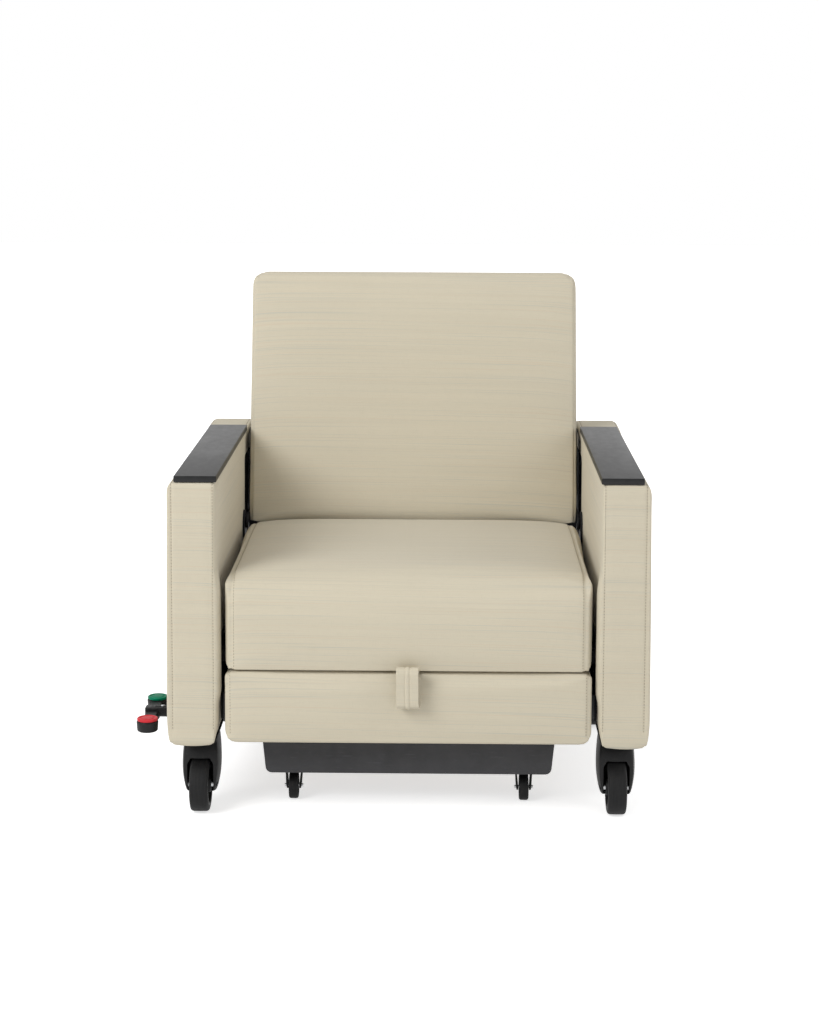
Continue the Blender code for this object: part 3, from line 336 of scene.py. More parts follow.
def moulded_plastic(name, colour, gloss=0.40, shine=0.20):
    """Moulded plastic with a spark-eroded texture and handling marks."""
    f = Finish(name)
    at = f.place()
    grain = f.noise(at, 1500.0, detail=2.0)
    cloud = f.noise(at, 22.0, detail=5.0, rough=0.6)
    marks = f.noise(f.stretched(at, (120.0, 25.0, 160.0)), detail=3.0).between(0.62, 0.74)
    shade = f.mix(rgba(colour, 0.82), rgba(colour, 1.16), cloud.between(0.3, 0.7))
    shade = f.mix(shade, rgba([0.5 * part + 0.03 for part in colour], 1.5), marks * 0.20)
    f.set(base_color=shade, roughness=gloss + cloud * 0.14 + marks * 0.10)
    f.set(normal=f.bump(grain + marks * 0.5, 0.00007, 0.6), specular_ior_level=shine)
    return f.material


def tread_rubber():
    """Dark polyurethane tread with dust and fine rolling marks."""
    f = Finish("tread_rubber")
    at = f.place()
    grain = f.noise(at, 900.0, detail=3.0)
    roll = f.noise(f.stretched(at, (900.0, 25.0, 25.0)), detail=2.0)
    dust = f.noise(at, 60.0, detail=6.0, rough=0.7).between(0.48, 0.80)
    colour = settings().finish.tread
    shade = f.mix(rgba(colour, 0.80), rgba(colour, 1.25), roll.between(0.35, 0.65))
    shade = f.mix(shade, (0.060, 0.057, 0.052, 1.0), dust * 0.14)
    f.set(base_color=shade, roughness=0.62 + dust * 0.18, normal=f.bump(grain + roll, 0.0001, 0.55))
    f.set(specular_ior_level=0.20)
    return f.material


def zinc_plate(name, colour):
    """Zinc-plated steel: cloudy passivation and drawing lines."""
    f = Finish(name)
    at = f.place()
    lines = f.noise(f.stretched(at, (700.0, 12.0, 700.0)), detail=2.0)
    cloud = f.noise(at, 26.0, detail=5.0, rough=0.65)
    tarnish = f.noise(at, 9.0, detail=4.0).between(0.52, 0.78)
    shade = f.mix(rgba(colour, 0.84), rgba(colour, 1.08), cloud.between(0.3, 0.7))
    shade = f.mix(shade, rgba((0.62 * colour[0], 0.57 * colour[1], 0.45 * colour[2])), tarnish * 0.28)
    f.set(base_color=shade, metallic=1.0, roughness=0.26 + cloud * 0.20 + lines * 0.06)
    f.set(normal=f.bump(lines + cloud * 0.3, 0.00006, 0.5))
    return f.material


def lining_cloth():
    """Black non-woven lining: pressed fibres and small bonding dots."""
    f = Finish("lining_cloth")
    at = f.place()
    fibres = f.noise(at, 700.0, detail=4.0, rough=0.7)
    dots = f.cells(at, 420.0, "F1").between(0.2, 0.5)
    lint = f.noise(at, 55.0, detail=6.0, rough=0.75).between(0.58, 0.80)
    colour = settings().finish.lining
    shade = f.mix(rgba(colour, 0.7), rgba(colour, 1.5), fibres.between(0.35, 0.65))
    shade = f.mix(shade, (0.07, 0.068, 0.064, 1.0), lint * 0.20)
    f.set(base_color=shade, roughness=0.88 + lint * 0.08, normal=f.bump(fibres + dots * 0.6, 0.0002, 0.6))
    f.set(specular_ior_level=0.04)
    return f.material


def plywood():
    """Birch plywood: soft figure on the faces."""
    f = Finish("plywood")
    at = f.place()
    warp = f.noise(f.stretched(at, (2.0, 9.0, 2.0)), detail=4.0)
    rings = (f.part(at, 1) * 190.0 + warp * 26.0).sine() * 0.5 + 0.5
    pores = f.noise(f.stretched(at, (16.0, 620.0, 16.0)), detail=3.0).between(0.56, 0.72)
    colour = settings().finish.board
    shade = f.mix(rgba(colour, 0.80), rgba(colour, 1.10), rings * 0.75)
    shade = f.mix(shade, rgba(colour, 0.55), pores * 0.55)
    f.set(base_color=shade, roughness=0.60 + pores * 0.15, normal=f.bump(pores + rings * 0.3, 0.00014, 0.5))
    return f.material


MADE = {}


def finish(name):
    """The material of that name, made the first time it is asked for."""
    colours = settings().finish
    makers = {
        "cloth": woven_cloth,
        "thread": sewing_thread,
        "cap": cap_skin,
        "steel": lambda: powder_coat("black_powder_coat", colours.steel),
        "panel": lambda: powder_coat("grey_powder_coat", colours.panel),
        "moulded": lambda: moulded_plastic("moulded_black", colours.moulded),
        "red": lambda: moulded_plastic("moulded_red", colours.red, 0.34, 0.12),
        "green": lambda: moulded_plastic("moulded_green", colours.green, 0.34, 0.08),
        "tread": tread_rubber,
        "zinc": lambda: zinc_plate("zinc_plate", colours.zinc),
        "black_zinc": lambda: zinc_plate("black_zinc_plate", colours.black_zinc),
        "lining": lining_cloth,
        "board": plywood,
    }
    if name not in MADE:
        MADE[name] = makers[name]()
    return MADE[name]


# Modelling

def alone(obj=None):
    """Leaves edit mode and selects nothing, or only obj."""
    if bpy.context.object and bpy.context.object.mode != "OBJECT":
        bpy.ops.object.mode_set(mode="OBJECT")
    bpy.ops.object.select_all(action="DESELECT")
    if obj:
        obj.select_set(True)
        bpy.context.view_layer.objects.active = obj
    return obj


def named(name):
    """The primitive just added, named and with its place in its mesh."""
    obj = bpy.context.object
    bpy.ops.object.transform_apply(location=True, rotation=True, scale=True)
    obj.name = obj.data.name = name
    return obj


def block(name, low, high):
    low, high = Vector(low), Vector(high)
    alone()
    bpy.ops.mesh.primitive_cube_add(size=1.0, location=(low + high) / 2, scale=high - low)
    return named(name)


def drum(name, radius, start, end, sides=48):
    """A round bar from start to end."""
    start, end = Vector(start), Vector(end)
    turn = (end - start).to_track_quat("Z", "Y").to_euler()
    alone()
    bpy.ops.mesh.primitive_cylinder_add(
        vertices=sides, radius=radius, depth=(end - start).length, location=(start + end) / 2, rotation=turn
    )
    return named(name)


def cross_bar(name, radius, centre, half, sides=48):
    """A round bar along X that reaches half its length to either side of centre."""
    reach = Vector((half, 0.0, 0.0))
    return drum(name, radius, centre - reach, centre + reach, sides)


def room(low, high, gap, opening=(0.0, 0.0, 0.0)):
    """A block to cut from a piece where its neighbour lies: gap larger than the neighbour all round, and
    as much further as opening says on the low sides."""
    gap = Vector((gap, gap, gap))
    return block("room", low - gap - Vector(opening), high + gap)


def points(obj):
    flat = np.empty(len(obj.data.vertices) * 3)
    obj.data.vertices.foreach_get("co", flat)
    return flat.reshape(-1, 3)


def normals(obj):
    flat = np.empty(len(obj.data.vertices) * 3)
    obj.data.vertex_normals.foreach_get("vector", flat)
    return flat.reshape(-1, 3)


def put(obj, where):
    obj.data.vertices.foreach_set("co", np.asarray(where, dtype=np.float64).ravel())
    obj.data.update()


def apply(obj, kind, **options):
    """Adds a modifier and applies it."""
    alone(obj)
    modifier = obj.modifiers.new(kind.lower(), kind)
    for key, value in options.items():
        setattr(modifier, key, value)
    bpy.ops.object.modifier_apply(modifier=modifier.name)
    return obj


def carve(obj, operation, *tools):
    """Cuts tools from obj, or joins them to it, and removes them."""
    for tool in tools:
        apply(obj, "BOOLEAN", operation=operation, solver="EXACT", object=tool)
        bpy.data.objects.remove(tool, do_unlink=True)
    return obj


def ease(obj, width, segments=3, angle=40.0):
    return apply(
        obj, "BEVEL", width=width, segments=segments, limit_method="ANGLE", angle_limit=math.radians(angle)
    )


def finer(obj, levels=1):
    return apply(obj, "SUBSURF", levels=levels, render_levels=levels)


def smooth(obj, angle=40.0):
    alone(obj)
    bpy.ops.object.shade_smooth_by_angle(angle=math.radians(angle))
    return obj


def edit(obj, *steps):
    """Runs edit-mode steps on the whole mesh."""
    alone(obj)
    bpy.ops.object.mode_set(mode="EDIT")
    bpy.ops.mesh.select_all(action="SELECT")
    for step in steps:
        step()
    bpy.ops.object.mode_set(mode="OBJECT")
    return obj


def bevel(obj, width, segments):
    """Rounds every edge of a piece."""
    return edit(obj, lambda: bpy.ops.mesh.bevel(offset=width, segments=segments, affect="EDGES"))


def round_edges(obj, axis, radius):
    """Rounds the edges of a block that run along an axis."""
    edit(
        obj, lambda: bpy.ops.mesh.select_mode(type="EDGE"),
        lambda: bpy.ops.mesh.select_all(action="DESELECT"),
    )
    for edge in obj.data.edges:
        start, end = [obj.data.vertices[i].co for i in edge.vertices]
        edge.select = abs((end - start).normalized()[axis]) > 0.9
    bpy.ops.object.mode_set(mode="EDIT")
    bpy.ops.mesh.bevel(offset=radius, segments=8, affect="EDGES")
    bpy.ops.object.mode_set(mode="OBJECT")
    return obj


def closed(obj):
    """Merges doubles and turns the faces outwards."""
    return edit(
        obj, lambda: bpy.ops.mesh.remove_doubles(threshold=1e-6),
        lambda: bpy.ops.mesh.normals_make_consistent(inside=False),
    )


def lathe(name, profile, centre, steps, axis=(1.0, 0.0, 0.0)):
    """A round piece about an axis through centre, X or Z. The points of its profile are places along the
    axis, from centre, and radii, round a closed loop."""
    along = Vector(axis)
    out = along.zyx
    alone()
    bpy.ops.mesh.primitive_circle_add(vertices=len(profile), radius=0.01)
    obj = named(name)
    put(obj, [centre + along * place + out * radius for place, radius in profile])
    edit(obj, lambda: bpy.ops.mesh.spin(steps=steps, angle=2 * math.pi, center=centre, axis=along))
    return closed(obj)


def merged_copy(node):
    """A copy of a CAD node's mesh with its triangles merged."""
    source = frame["nodes"][node]
    obj = bpy.data.objects.new(f"{node}_eased", source.data.copy())
    bpy.context.scene.collection.objects.link(obj)
    obj.data.materials.clear()
    closed(obj)
    return edit(obj, lambda: bpy.ops.mesh.dissolve_limited(angle_limit=math.radians(1.0)))


def twin(obj, name, shift=None, mirror=None):
    """A copy of a piece with a mesh of its own, moved by shift or mirrored in the plane x = mirror."""
    alone(obj)
    bpy.ops.object.duplicate(linked=False)
    copy = bpy.context.object
    copy.name = copy.data.name = name
    if shift is not None:
        copy.data.transform(Matrix.Translation(shift))
    if mirror is not None:
        copy.data.transform(Matrix.Translation((2 * mirror, 0, 0)) @ Matrix.Scale(-1.0, 4, (1, 0, 0)))
        edit(copy, lambda: bpy.ops.mesh.flip_normals())
    return copy


def eased_copy(node, width, segments=2):
    """A copy of a CAD node with its sharp edges eased, which stands for the node."""
    return smooth(ease(merged_copy(node), width, segments))


def keep(obj, node_or_body, look, node=None, angle=None):
    """Gives a finished piece its material, its body and the CAD node that it stands for."""
    if angle:
        smooth(obj, angle)
    obj.data.materials.clear()
    obj.data.materials.append(finish(look))
    if node:
        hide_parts(node)
    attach(obj, node_or_body)
    return obj


def spread(models, joint, spots):
    """Copies models that stand at the first spot of a joint to all its spots, and removes the models.
    A model goes with its body, material slot, look, CAD node and angle of smoothing."""
    for model, body, slot, look, node, angle in models:
        for spot in spots:
            shift = PIVOTS[f"{joint}_{spot}"] - PIVOTS[f"{joint}_{spots[0]}"]
            piece = twin(model, f"{model.name}_{spot}", shift)
            keep(piece, f"{body}_{spot}", look, node and f"{node}_{spot}", angle)
        bpy.data.objects.remove(model, do_unlink=True)


# Padded pieces

def ease_in(share):
    """From 0 to 1 with level ends, as share goes from 0 to 1."""
    share = share.clip(0.0, 1.0)
    return share * share * (3.0 - 2.0 * share)


def both_sides(axis, second, radius):
    """The same rounding for a pad's left and right edges."""
    return [(axis, sign, second, radius) for _, sign in SIDES]


def beside(at, low, high, inset, width):
    """Which points lie within width of the lines inset from a pad's two sides."""
    return np.abs(np.abs(at[:, 0] - (low.x + high.x) / 2) - (high.x - low.x) / 2 + inset) < width


def stuffed_block(name, low, high, rounds):
    """A block between two corners, cut finely near its edges. rounds lists its rounded edges: the
    axis that an edge runs along, the sides that it lies on along the other two, and its radius."""
    low, high = np.array(low), np.array(high)
    alone()
    bpy.ops.mesh.primitive_cube_add(size=2.0)
    obj = named(name)
    edit(obj, lambda: bpy.ops.mesh.subdivide(number_cuts=settings().padding.cuts))
    share = points(obj)
    share = np.sign(share) * (1.0 - (1.0 - np.abs(share).clip(0.0, 1.0)) ** 1.55)
    where = (low + high) / 2 + share * (high - low) / 2
    for axis, first, second, radius in rounds:
        a, b = [i for i in range(3) if i != axis]
        corner_a = high[a] if first > 0 else low[a]
        corner_b = high[b] if second > 0 else low[b]
        over_a = (where[:, a] - corner_a) * first + radius
        over_b = (where[:, b] - corner_b) * second + radius
        inside = (over_a > 0) & (over_b > 0)
        over_a, over_b = over_a[inside], over_b[inside]
        pull = np.maximum(over_a, over_b) / np.hypot(over_a, over_b)
        where[inside, a] = corner_a + first * (over_a * pull - radius)
        where[inside, b] = corner_b + second * (over_b * pull - radius)
    put(obj, where)
    return obj


def swell(obj, held, caps):
    """Blows the pad up as stuffed cloth. held gives how firmly each point keeps its place, and caps
    how far a point may move along each axis."""
    start = points(obj)
    group = obj.vertex_groups.new(name="held")
    for index, firm in enumerate(held(start)):
        if firm > 0.0:
            group.add([index], float(firm), "REPLACE")
    alone(obj)
    cloth = obj.modifiers.new("stuffing", "CLOTH")
    stuff = cloth.settings
    stuff.quality = 5
    stuff.mass = 0.3
    stuff.tension_stiffness = stuff.compression_stiffness = 12.0
    stuff.shear_stiffness = 6.0
    stuff.bending_stiffness = 1.0
    stuff.use_pressure = True
    stuff.uniform_pressure_force = settings().padding.pressure
    stuff.vertex_group_mass = "held"
    stuff.effector_weights.gravity = 0.0
    cloth.collision_settings.use_collision = False
    moments = 20
    cloth.point_cache.frame_start, cloth.point_cache.frame_end = 1, moments
    scene = bpy.context.scene
    for moment in range(1, moments + 1):
        scene.frame_set(moment)
    bpy.ops.object.modifier_apply(modifier=cloth.name)
    scene.frame_set(1)
    obj.vertex_groups.clear()
    caps = np.array(caps)
    put(obj, start + caps * np.tanh((points(obj) - start) / caps))
    return obj


def seam_path(obj, x, centre, start, end, count=220):
    """Points on the pad's surface in the plane at x, seen from an inner centre (y, z), from one
    angle to another in degrees: 180 is to the front and 90 is up."""
    tree = BVHTree.FromObject(obj, bpy.context.evaluated_depsgraph_get())
    path = []
    middle = Vector((x, *centre))
    for i in range(count + 1):
        angle = math.radians(start + (end - start) * i / count)
        way = Vector((0.0, math.cos(angle), math.sin(angle)))
        hit = tree.ray_cast(middle + way * 2.0, -way)
        if hit[0] is None:
            raise RuntimeError(f"no surface for a seam of {obj.name}")
        path.append(hit[0])
    return path


def side_seams(obj, low, high, inset, centre, start, end):
    """Seam paths that are inset from a pad's two sides."""
    return [seam_path(obj, x, centre, start, end) for x in (low.x + inset, high.x - inset)]


def spaced(path, pitch):
    """Points and directions at even steps along a path."""
    path = np.array(path)
    steps = np.linalg.norm(np.diff(path, axis=0), axis=1)
    along = np.concatenate(([0.0], np.cumsum(steps)))
    count = int(along[-1] / pitch)
    stops = (np.arange(count) + 0.5) * along[-1] / count
    where = np.stack([np.interp(stops, along, path[:, i]) for i in range(3)], axis=1)
    ahead = np.stack([np.interp(stops + 1e-4, along, path[:, i]) for i in range(3)], axis=1)
    way = ahead - where
    return where, way / np.linalg.norm(way, axis=1)[:, None].clip(1e-9)


def draw_in(obj, paths, depth, width):
    """Presses grooves into the pad along paths."""
    where, out = points(obj), normals(obj)
    push = np.zeros(len(where))
    for path in paths:
        stops, _ = spaced(path, width / 2)
        low, high = stops.min(0) - 3 * width, stops.max(0) + 3 * width
        near = np.flatnonzero(((where > low) & (where < high)).all(1))
        for chunk in np.array_split(near, max(1, len(near) // 2000)):
            gap = np.linalg.norm(where[chunk, None, :] - stops[None, :, :], axis=2).min(1)
            push[chunk] = np.maximum(push[chunk], np.exp(-((gap / width) ** 2)))
    put(obj, where - out * (push * depth)[:, None])
    return obj


def stitches(name, body, surface, paths):
    """Rows of thread along paths on a surface, as one piece."""
    cloth = settings().cloth
    tree = BVHTree.FromObject(surface, bpy.context.evaluated_depsgraph_get())
    alone()
    bpy.ops.mesh.primitive_uv_sphere_add(segments=6, ring_count=5, radius=1.0)
    one = named(name)
    template = points(one) * np.array([cloth.stitch_thick, cloth.stitch_thick, cloth.stitch_length]) / 2
    loops = [tuple(polygon.vertices) for polygon in one.data.polygons]
    bpy.data.objects.remove(one, do_unlink=True)
    where, faces = [], []
    for path in paths:
        stops, ways = spaced(path, cloth.stitch_pitch)
        for stop, way in zip(stops, ways):
            hit = tree.find_nearest(Vector(stop))
            if hit[0] is None:
                continue
            out = hit[1]
            along = Vector(way)
            side = along.cross(out).normalized()
            turn = np.array([side, side.cross(along), along]).T
            base = np.array(hit[0] + out * cloth.stitch_thick * 0.12)
            first = len(where) * len(template)
            where.append(template @ turn.T + base)
            faces += [tuple(first + corner for corner in loop) for loop in loops]
    mesh = bpy.data.meshes.new(name)
    mesh.from_pydata(np.concatenate(where).tolist(), [], faces)
    obj = bpy.data.objects.new(name, mesh)
    bpy.context.scene.collection.objects.link(obj)
    return keep(obj, body, "thread", angle=60.0)


def weave_map(obj):
    """Lays the weave over the pad in metres: across it on the front and top, along it on the sides."""
    mesh = obj.data
    layer = mesh.uv_layers.new(name="weave")
    where = points(obj)
    corners = np.empty(len(mesh.loops), dtype=np.int32)
    mesh.loops.foreach_get("vertex_index", corners)
    facing = np.empty(len(mesh.polygons) * 3)
    mesh.polygons.foreach_get("normal", facing)
    counts = np.empty(len(mesh.polygons), dtype=np.int32)
    mesh.polygons.foreach_get("loop_total", counts)
    sideways = np.repeat(np.abs(facing.reshape(-1, 3)[:, 0]) > 0.72, counts)
    x, y, z = where[corners].T
    u = np.where(sideways, y + 0.37, x)
    v = np.where(sideways, z + 0.11, y + z + 0.016 * x)
    layer.data.foreach_set("uv", np.stack([u, v], axis=1).ravel())
    return obj


def upholster(obj, body, node):
    """Finishes a pad in woven cloth."""
    weave_map(obj)
    keep(obj, body, "cloth", node, 50.0)
    return obj


# Operators

class SLEEPCHAIR_OT_seat(bpy.types.Operator):
    """Stuffed seat cushion with a rolled front and stitched side seams"""

    bl_idname = "sleep_chair.seat"
    bl_label = "Seat cushion"

    def execute(self, context):
        pad = settings().padding
        low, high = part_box("seat_cushion")
        side, seam_in, stitch_in = 0.0015, 0.0125, 0.0165
        bottom, top = low.z - 0.0016, high.z - 0.003
        front, rear = low.y + pad.seat_front - 0.002, high.y - 0.002
        obj = stuffed_block(
            "seat_pad", (low.x + side, front, bottom), (high.x - side, rear, top),
            [
                (0, -1, 1, pad.seat_roll), (0, -1, -1, 0.004), (0, 1, 1, 0.008),
                *both_sides(1, 1, 0.022), *both_sides(2, -1, 0.020),
                *both_sides(1, -1, 0.010), *both_sides(2, 1, 0.008),
            ],
        )
        # The sides are fuller towards the rear, but not beside the back's hinge arms
        where = points(obj)
        middle = (low.x + high.x) / 2
        tall = ((where[:, 2] - bottom) / (top - bottom)).clip(0.0, 1.0)
        past = where[:, 1] - rear
        wider = 0.004 + 0.008 * ((past + 0.30) / 0.30).clip(0.0, 1.0)
        wider += 0.018 * ease_in((past + 0.34) / 0.26) * (1.0 - ease_in((past + 0.026) / 0.016))
        where[:, 0] = middle + (where[:, 0] - middle) * (1.0 + wider * np.sin(np.pi * (0.12 + 0.66 * tall)))
        # The top sinks towards the back cushion
        behind = ((past + 0.16) / 0.16).clip(0.0, 1.0) ** 2
        outer = ((np.abs(where[:, 0] - middle) / (high.x - middle) - 0.75) / 0.25).clip(0.0, 1.0) ** 2
        where[:, 2] -= tall ** 4 * behind * (0.0085 + 0.0015 * outer)
        put(obj, where)

        def held(at):
            base = (at[:, 2] < bottom + 0.003) | ((at[:, 1] > rear - 0.002) & (at[:, 2] < top - 0.03))
            return np.where(base, 1.0, np.where(beside(at, low, high, 0.012, 0.006), 0.75, 0.0))

        swell(obj, held, (0.002, pad.seat_front, pad.seat_rise))
        finer(obj)
        centre = ((front + rear) / 2, (bottom + top) / 2)
        seams = side_seams(obj, low, high, seam_in, centre, 205.0, 12.0)
        rows = side_seams(obj, low, high, stitch_in, centre, 203.0, 14.0)
        draw_in(obj, seams, pad.groove, 0.0035)
        # The deck lies behind the lip that hangs over its front edge
        lip = frame["nodes"]["seat_cushion"].data
        lip_rear = max(v.co.y for v in lip.vertices if v.co.z < low.z + 0.012)
        deck_top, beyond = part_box("seat_deck")[1].z + 0.0004, 0.1
        under = block(
            "seat_under", (low.x - beyond, lip_rear + 0.001, low.z - beyond),
            (high.x + beyond, high.y + beyond, deck_top),
        )
        carve(obj, "DIFFERENCE", under)
        upholster(obj, "base", "seat_cushion")
        stitches("seat_stitches", "base", obj, rows)
        return {"FINISHED"}


class SLEEPCHAIR_OT_back(bpy.types.Operator):
    """Stuffed back cushion and the upholstered cover behind it"""

    bl_idname = "sleep_chair.back"
    bl_label = "Back"

    def upright_box(self, node):
        """The corners of a node's box, with the back stood upright."""
        stood = [UPRIGHT @ v.co for v in frame["nodes"][node].data.vertices]
        return [Vector([pick(p[i] for p in stood) for i in range(3)]) for pick in (min, max)]

    def edge_seam(self, tree, sign, corner, bottom, rear):
        """Points of the seam that runs up one side of the back, round its top corner and to the rear.
        Rays look for the surface from lines that start at an inner corner."""
        x, y, z = corner
        rays = [((x, y, level), (sign, -1.0, 0.0)) for level in np.linspace(bottom, z, 160)]
        for share in np.linspace(0.0, 1.0, 40):
            turn = math.pi / 2 * share
            rays.append((corner, (sign * math.cos(turn), 0.9 * share ** 3 - 0.9, math.sin(turn))))
        rays += [((x, back, z), (0.0, 0.0, 1.0)) for back in np.linspace(y, rear, 60)]
        hits = [tree.ray_cast(Vector(start), Vector(way).normalized())[0] for start, way in rays]
        if None in hits:
            raise RuntimeError("no surface for a seam of the back")
        return hits

    def execute(self, context):
        pad = settings().padding
        low, high = self.upright_box("back_cushion")
        side, front = 0.0005, low.y + pad.back_swell - 0.002
        bottom, top = low.z - 0.010, high.z - 0.003
        rear = high.y
        obj = stuffed_block(
            "back_pad", (low.x + side, front, bottom), (high.x - side, rear, top),
            [
                (0, -1, 1, 0.022), (0, 1, 1, 0.014), (0, -1, -1, 0.006), (0, 1, -1, 0.030),
                *both_sides(2, -1, 0.012), *both_sides(2, 1, 0.010),
                *both_sides(1, 1, 0.030), *both_sides(1, -1, 0.012),
            ],
        )
        # The front is a little wider above the hinge, and less so towards the top
        where = points(obj)
        near = (1.0 - (where[:, 1] - front) / 0.030).clip(0.0, 1.0) ** 0.5
        above = ((where[:, 2] - HINGE.z - 0.02) / 0.04).clip(0.0, 1.0)
        above *= (top - where[:, 2]) / (top - HINGE.z)
        where[:, 0] = HINGE.x + (where[:, 0] - HINGE.x) * (1.0 + 0.0042 * near * above)
        put(obj, where)

        def held(at):
            edge = beside(at, low, high, 0.005, 0.004)
            firm = np.where(edge | (at[:, 2] > top - 0.012), 0.8, 0.0)
            return np.where(at[:, 1] > rear - 0.004, 1.0, firm)

        swell(obj, held, (0.0015, pad.back_swell, 0.003))
        finer(obj)
        tree = BVHTree.FromObject(obj, bpy.context.evaluated_depsgraph_get())
        inset, foot, tail = 0.030, bottom + 0.012, rear - 0.006
        seams = []
        for sign, edge in ((-1, low.x), (1, high.x)):
            corner = (edge - sign * inset, front + inset, top - inset)
            seams.append(self.edge_seam(tree, sign, corner, foot, tail))
        draw_in(obj, seams, pad.groove, 0.0030)
        obj.data.transform(LEANT)
        upholster(obj, "back", "back_cushion")
        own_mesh(obj)
        self.cover()
        return {"FINISHED"}

    def cover(self):
        """The upholstered board behind the back cushion."""
        low, high = self.upright_box("back_cover")
        cover = stuffed_block(
            "back_cover_pad", low + Vector((0.001, 0.0, 0.001)), high - Vector((0.001, 0.001, 0.001)),
            [
                (0, 1, 1, 0.010), (0, 1, -1, 0.010), *both_sides(1, 1, 0.020),
                *both_sides(1, -1, 0.014), *both_sides(2, 1, 0.010),
            ],
        )
        swell(cover, lambda at: np.where(at[:, 1] < low.y + 0.006, 1.0, 0.35), (0.001, 0.0035, 0.001))
        finer(cover)
        centre = ((low.y + high.y) / 2, (low.z + high.z) / 2)
        seams = side_seams(cover, low, high, 0.016, centre, 84.0, -84.0)
        draw_in(cover, seams, 0.0015, 0.003)
        carve(cover, "DIFFERENCE", room(*self.upright_box("back_frame"), 0.0004, (0.0, 0.05, 0.0)))
        cover.data.transform(LEANT)
        upholster(cover, "back", "back_cover")
        rows = [[LEANT @ point for point in seam] for seam in seams]
        stitches("back_cover_stitches", "back", cover, rows)


class SLEEPCHAIR_OT_lining(bpy.types.Operator):
    """Black lining cloths behind and below the seat, and black sheets beside the back that are painted shade in
    the gaps between the back and the arms
    """

    bl_idname = "sleep_chair.lining"
    bl_label = "Linings"

    def cloth(self, name, start, reach, rests_on, dip=0.0):
        """A stretched cloth from its lower or front edge at start. reach is half its width, then how far
        it goes back and up, and dip how much lower the far edge is between its corners."""
        alone()
        bpy.ops.mesh.primitive_grid_add(x_subdivisions=40, y_subdivisions=16, size=2.0)
        obj = named(name)
        across, along = points(obj)[:, 0], (points(obj)[:, 1] + 1) / 2
        length = math.hypot(reach[1], reach[2])
        ripple = 0.0006 * np.sin(across * 9.0 + 0.6) * np.sin(along * 2.8)
        put(obj, np.stack([
            start[0] + across * reach[0],
            start[1] + along * reach[1] + ripple * abs(reach[2]) / length,
            start[2] + along * (reach[2] - dip * (1.0 - across ** 12)) - ripple * reach[1] / length,
        ], axis=1))
        finer(obj)
        apply(obj, "SOLIDIFY", thickness=0.0008, offset=0.0)
        closed(obj)
        keep(obj, "base", "lining", angle=50.0)
        2 * reach[0]
        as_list(rests_on)

    def pair(self, left, body):
        """Finishes a left painted-shade sheet and its mirrored twin on the right."""
        right = twin(left, left.name.replace("left", "right"), mirror=HINGE.x)
        for piece in (left, right):
            keep(piece, body, "lining", angle=35.0)

    def execute(self, context):
        left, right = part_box("side_plate_left")[1].x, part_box("side_plate_right")[0].x
        middle, half = (left + right) / 2, (right - left) / 2
        rail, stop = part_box("seat_rail_rear")[0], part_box("rear_rail")[0].y
        seat_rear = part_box("seat_cushion")[1].y + 0.0022
        rise, hinge_room = HINGE.z + 0.004 - rail.z, 0.0078
        reach = (half - hinge_room, 0.0, rise)
        self.cloth("seat_lining", (middle, seat_rear, rail.z), reach, ["seat_rail_rear"], 0.010)
        self.cloth(
            "dust_cloth", (middle, rail.y + 0.002, rail.z - 0.0010),
            (half - 0.0010, stop - rail.y - 0.0025, -0.0012), ["seat_rail_rear", "rear_rail"],
        )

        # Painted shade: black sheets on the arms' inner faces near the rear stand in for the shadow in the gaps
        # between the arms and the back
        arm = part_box("arm_upholstery_left")[1]
        inner = arm.x + 0.0001
        board = block(
            "arm_lining_left", (inner - 0.0016, HINGE.y + 0.030, 0.340),
            (inner, arm.y - 0.013, HINGE.z + 0.133),
        )
        round_edges(board, 0, 0.018)
        bevel(board, 0.0003, 2)
        self.pair(board, "base")
        # Painted shade: black strips on the back's sides stand in for the shadow in the gaps between the back and
        # the arms
        back_shade_strip = block(
            "back_trim_left", HINGE + Vector((-0.3474, 0.060, 0.060)),
            HINGE + Vector((-0.3424, 0.106, 0.201)),
        )
        bevel(back_shade_strip, 0.0022, 4)
        back_shade_strip.data.transform(LEANT)
        self.pair(back_shade_strip, "back")
        return {"FINISHED"}


class SLEEPCHAIR_OT_foot_pad(bpy.types.Operator):
    """Stuffed pad of the foot section with stitched side seams"""

    bl_idname = "sleep_chair.foot_pad"
    bl_label = "Foot pad"

    def execute(self, context):
        pad = settings().padding
        low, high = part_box("foot_pad")
        side, seam_in, stitch_in = 0.0005, 0.0070, 0.0105
        top, front, rear = high.z - 0.0006, low.y + pad.foot_swell - 0.002, high.y - 0.002
        obj = stuffed_block(
            "foot_section_pad", (low.x + side, front, low.z), (high.x - side, rear, top),
            [
                (0, -1, 1, 0.005), (0, -1, -1, 0.007), (0, 1, 1, 0.014), (0, 1, -1, 0.012),
                *both_sides(1, 1, 0.010), *both_sides(1, -1, 0.020),
                *both_sides(2, -1, 0.012), *both_sides(2, 1, 0.012),
            ],
        )
        # The lower front edge hangs down as a lip
        where = points(obj)
        lip = 0.07
        near = (1.0 - (where[:, 1] - low.y) / lip).clip(0.0, 1.0)
        near *= (1.0 - (where[:, 2] - low.z) / lip).clip(0.0, 1.0)
        where[:, 2] -= 0.0050 * near
        put(obj, where)

        def held(at):
            firm = np.where(beside(at, low, high, 0.011, 0.005), 0.75, 0.0)
            return np.where(at[:, 2] < low.z + 0.004, 1.0, firm)

        swell(obj, held, (side, pad.foot_swell, 0.0012))
        finer(obj)
        centre = ((front + rear) / 2, (low.z + top) / 2)
        seams = side_seams(obj, low, high, seam_in, centre, 190.0, 2.0)
        rows = side_seams(obj, low, high, stitch_in, centre, 190.0, 4.0)
        draw_in(obj, seams, pad.groove, 0.0032)
        carve(obj, "DIFFERENCE", room(*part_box("foot_deck"), 0.0004, (0.0, 0.0, 0.05)))
        upholster(obj, "foot", "foot_pad")
        stitches("foot_stitches", "foot", obj, rows)
        return {"FINISHED"}


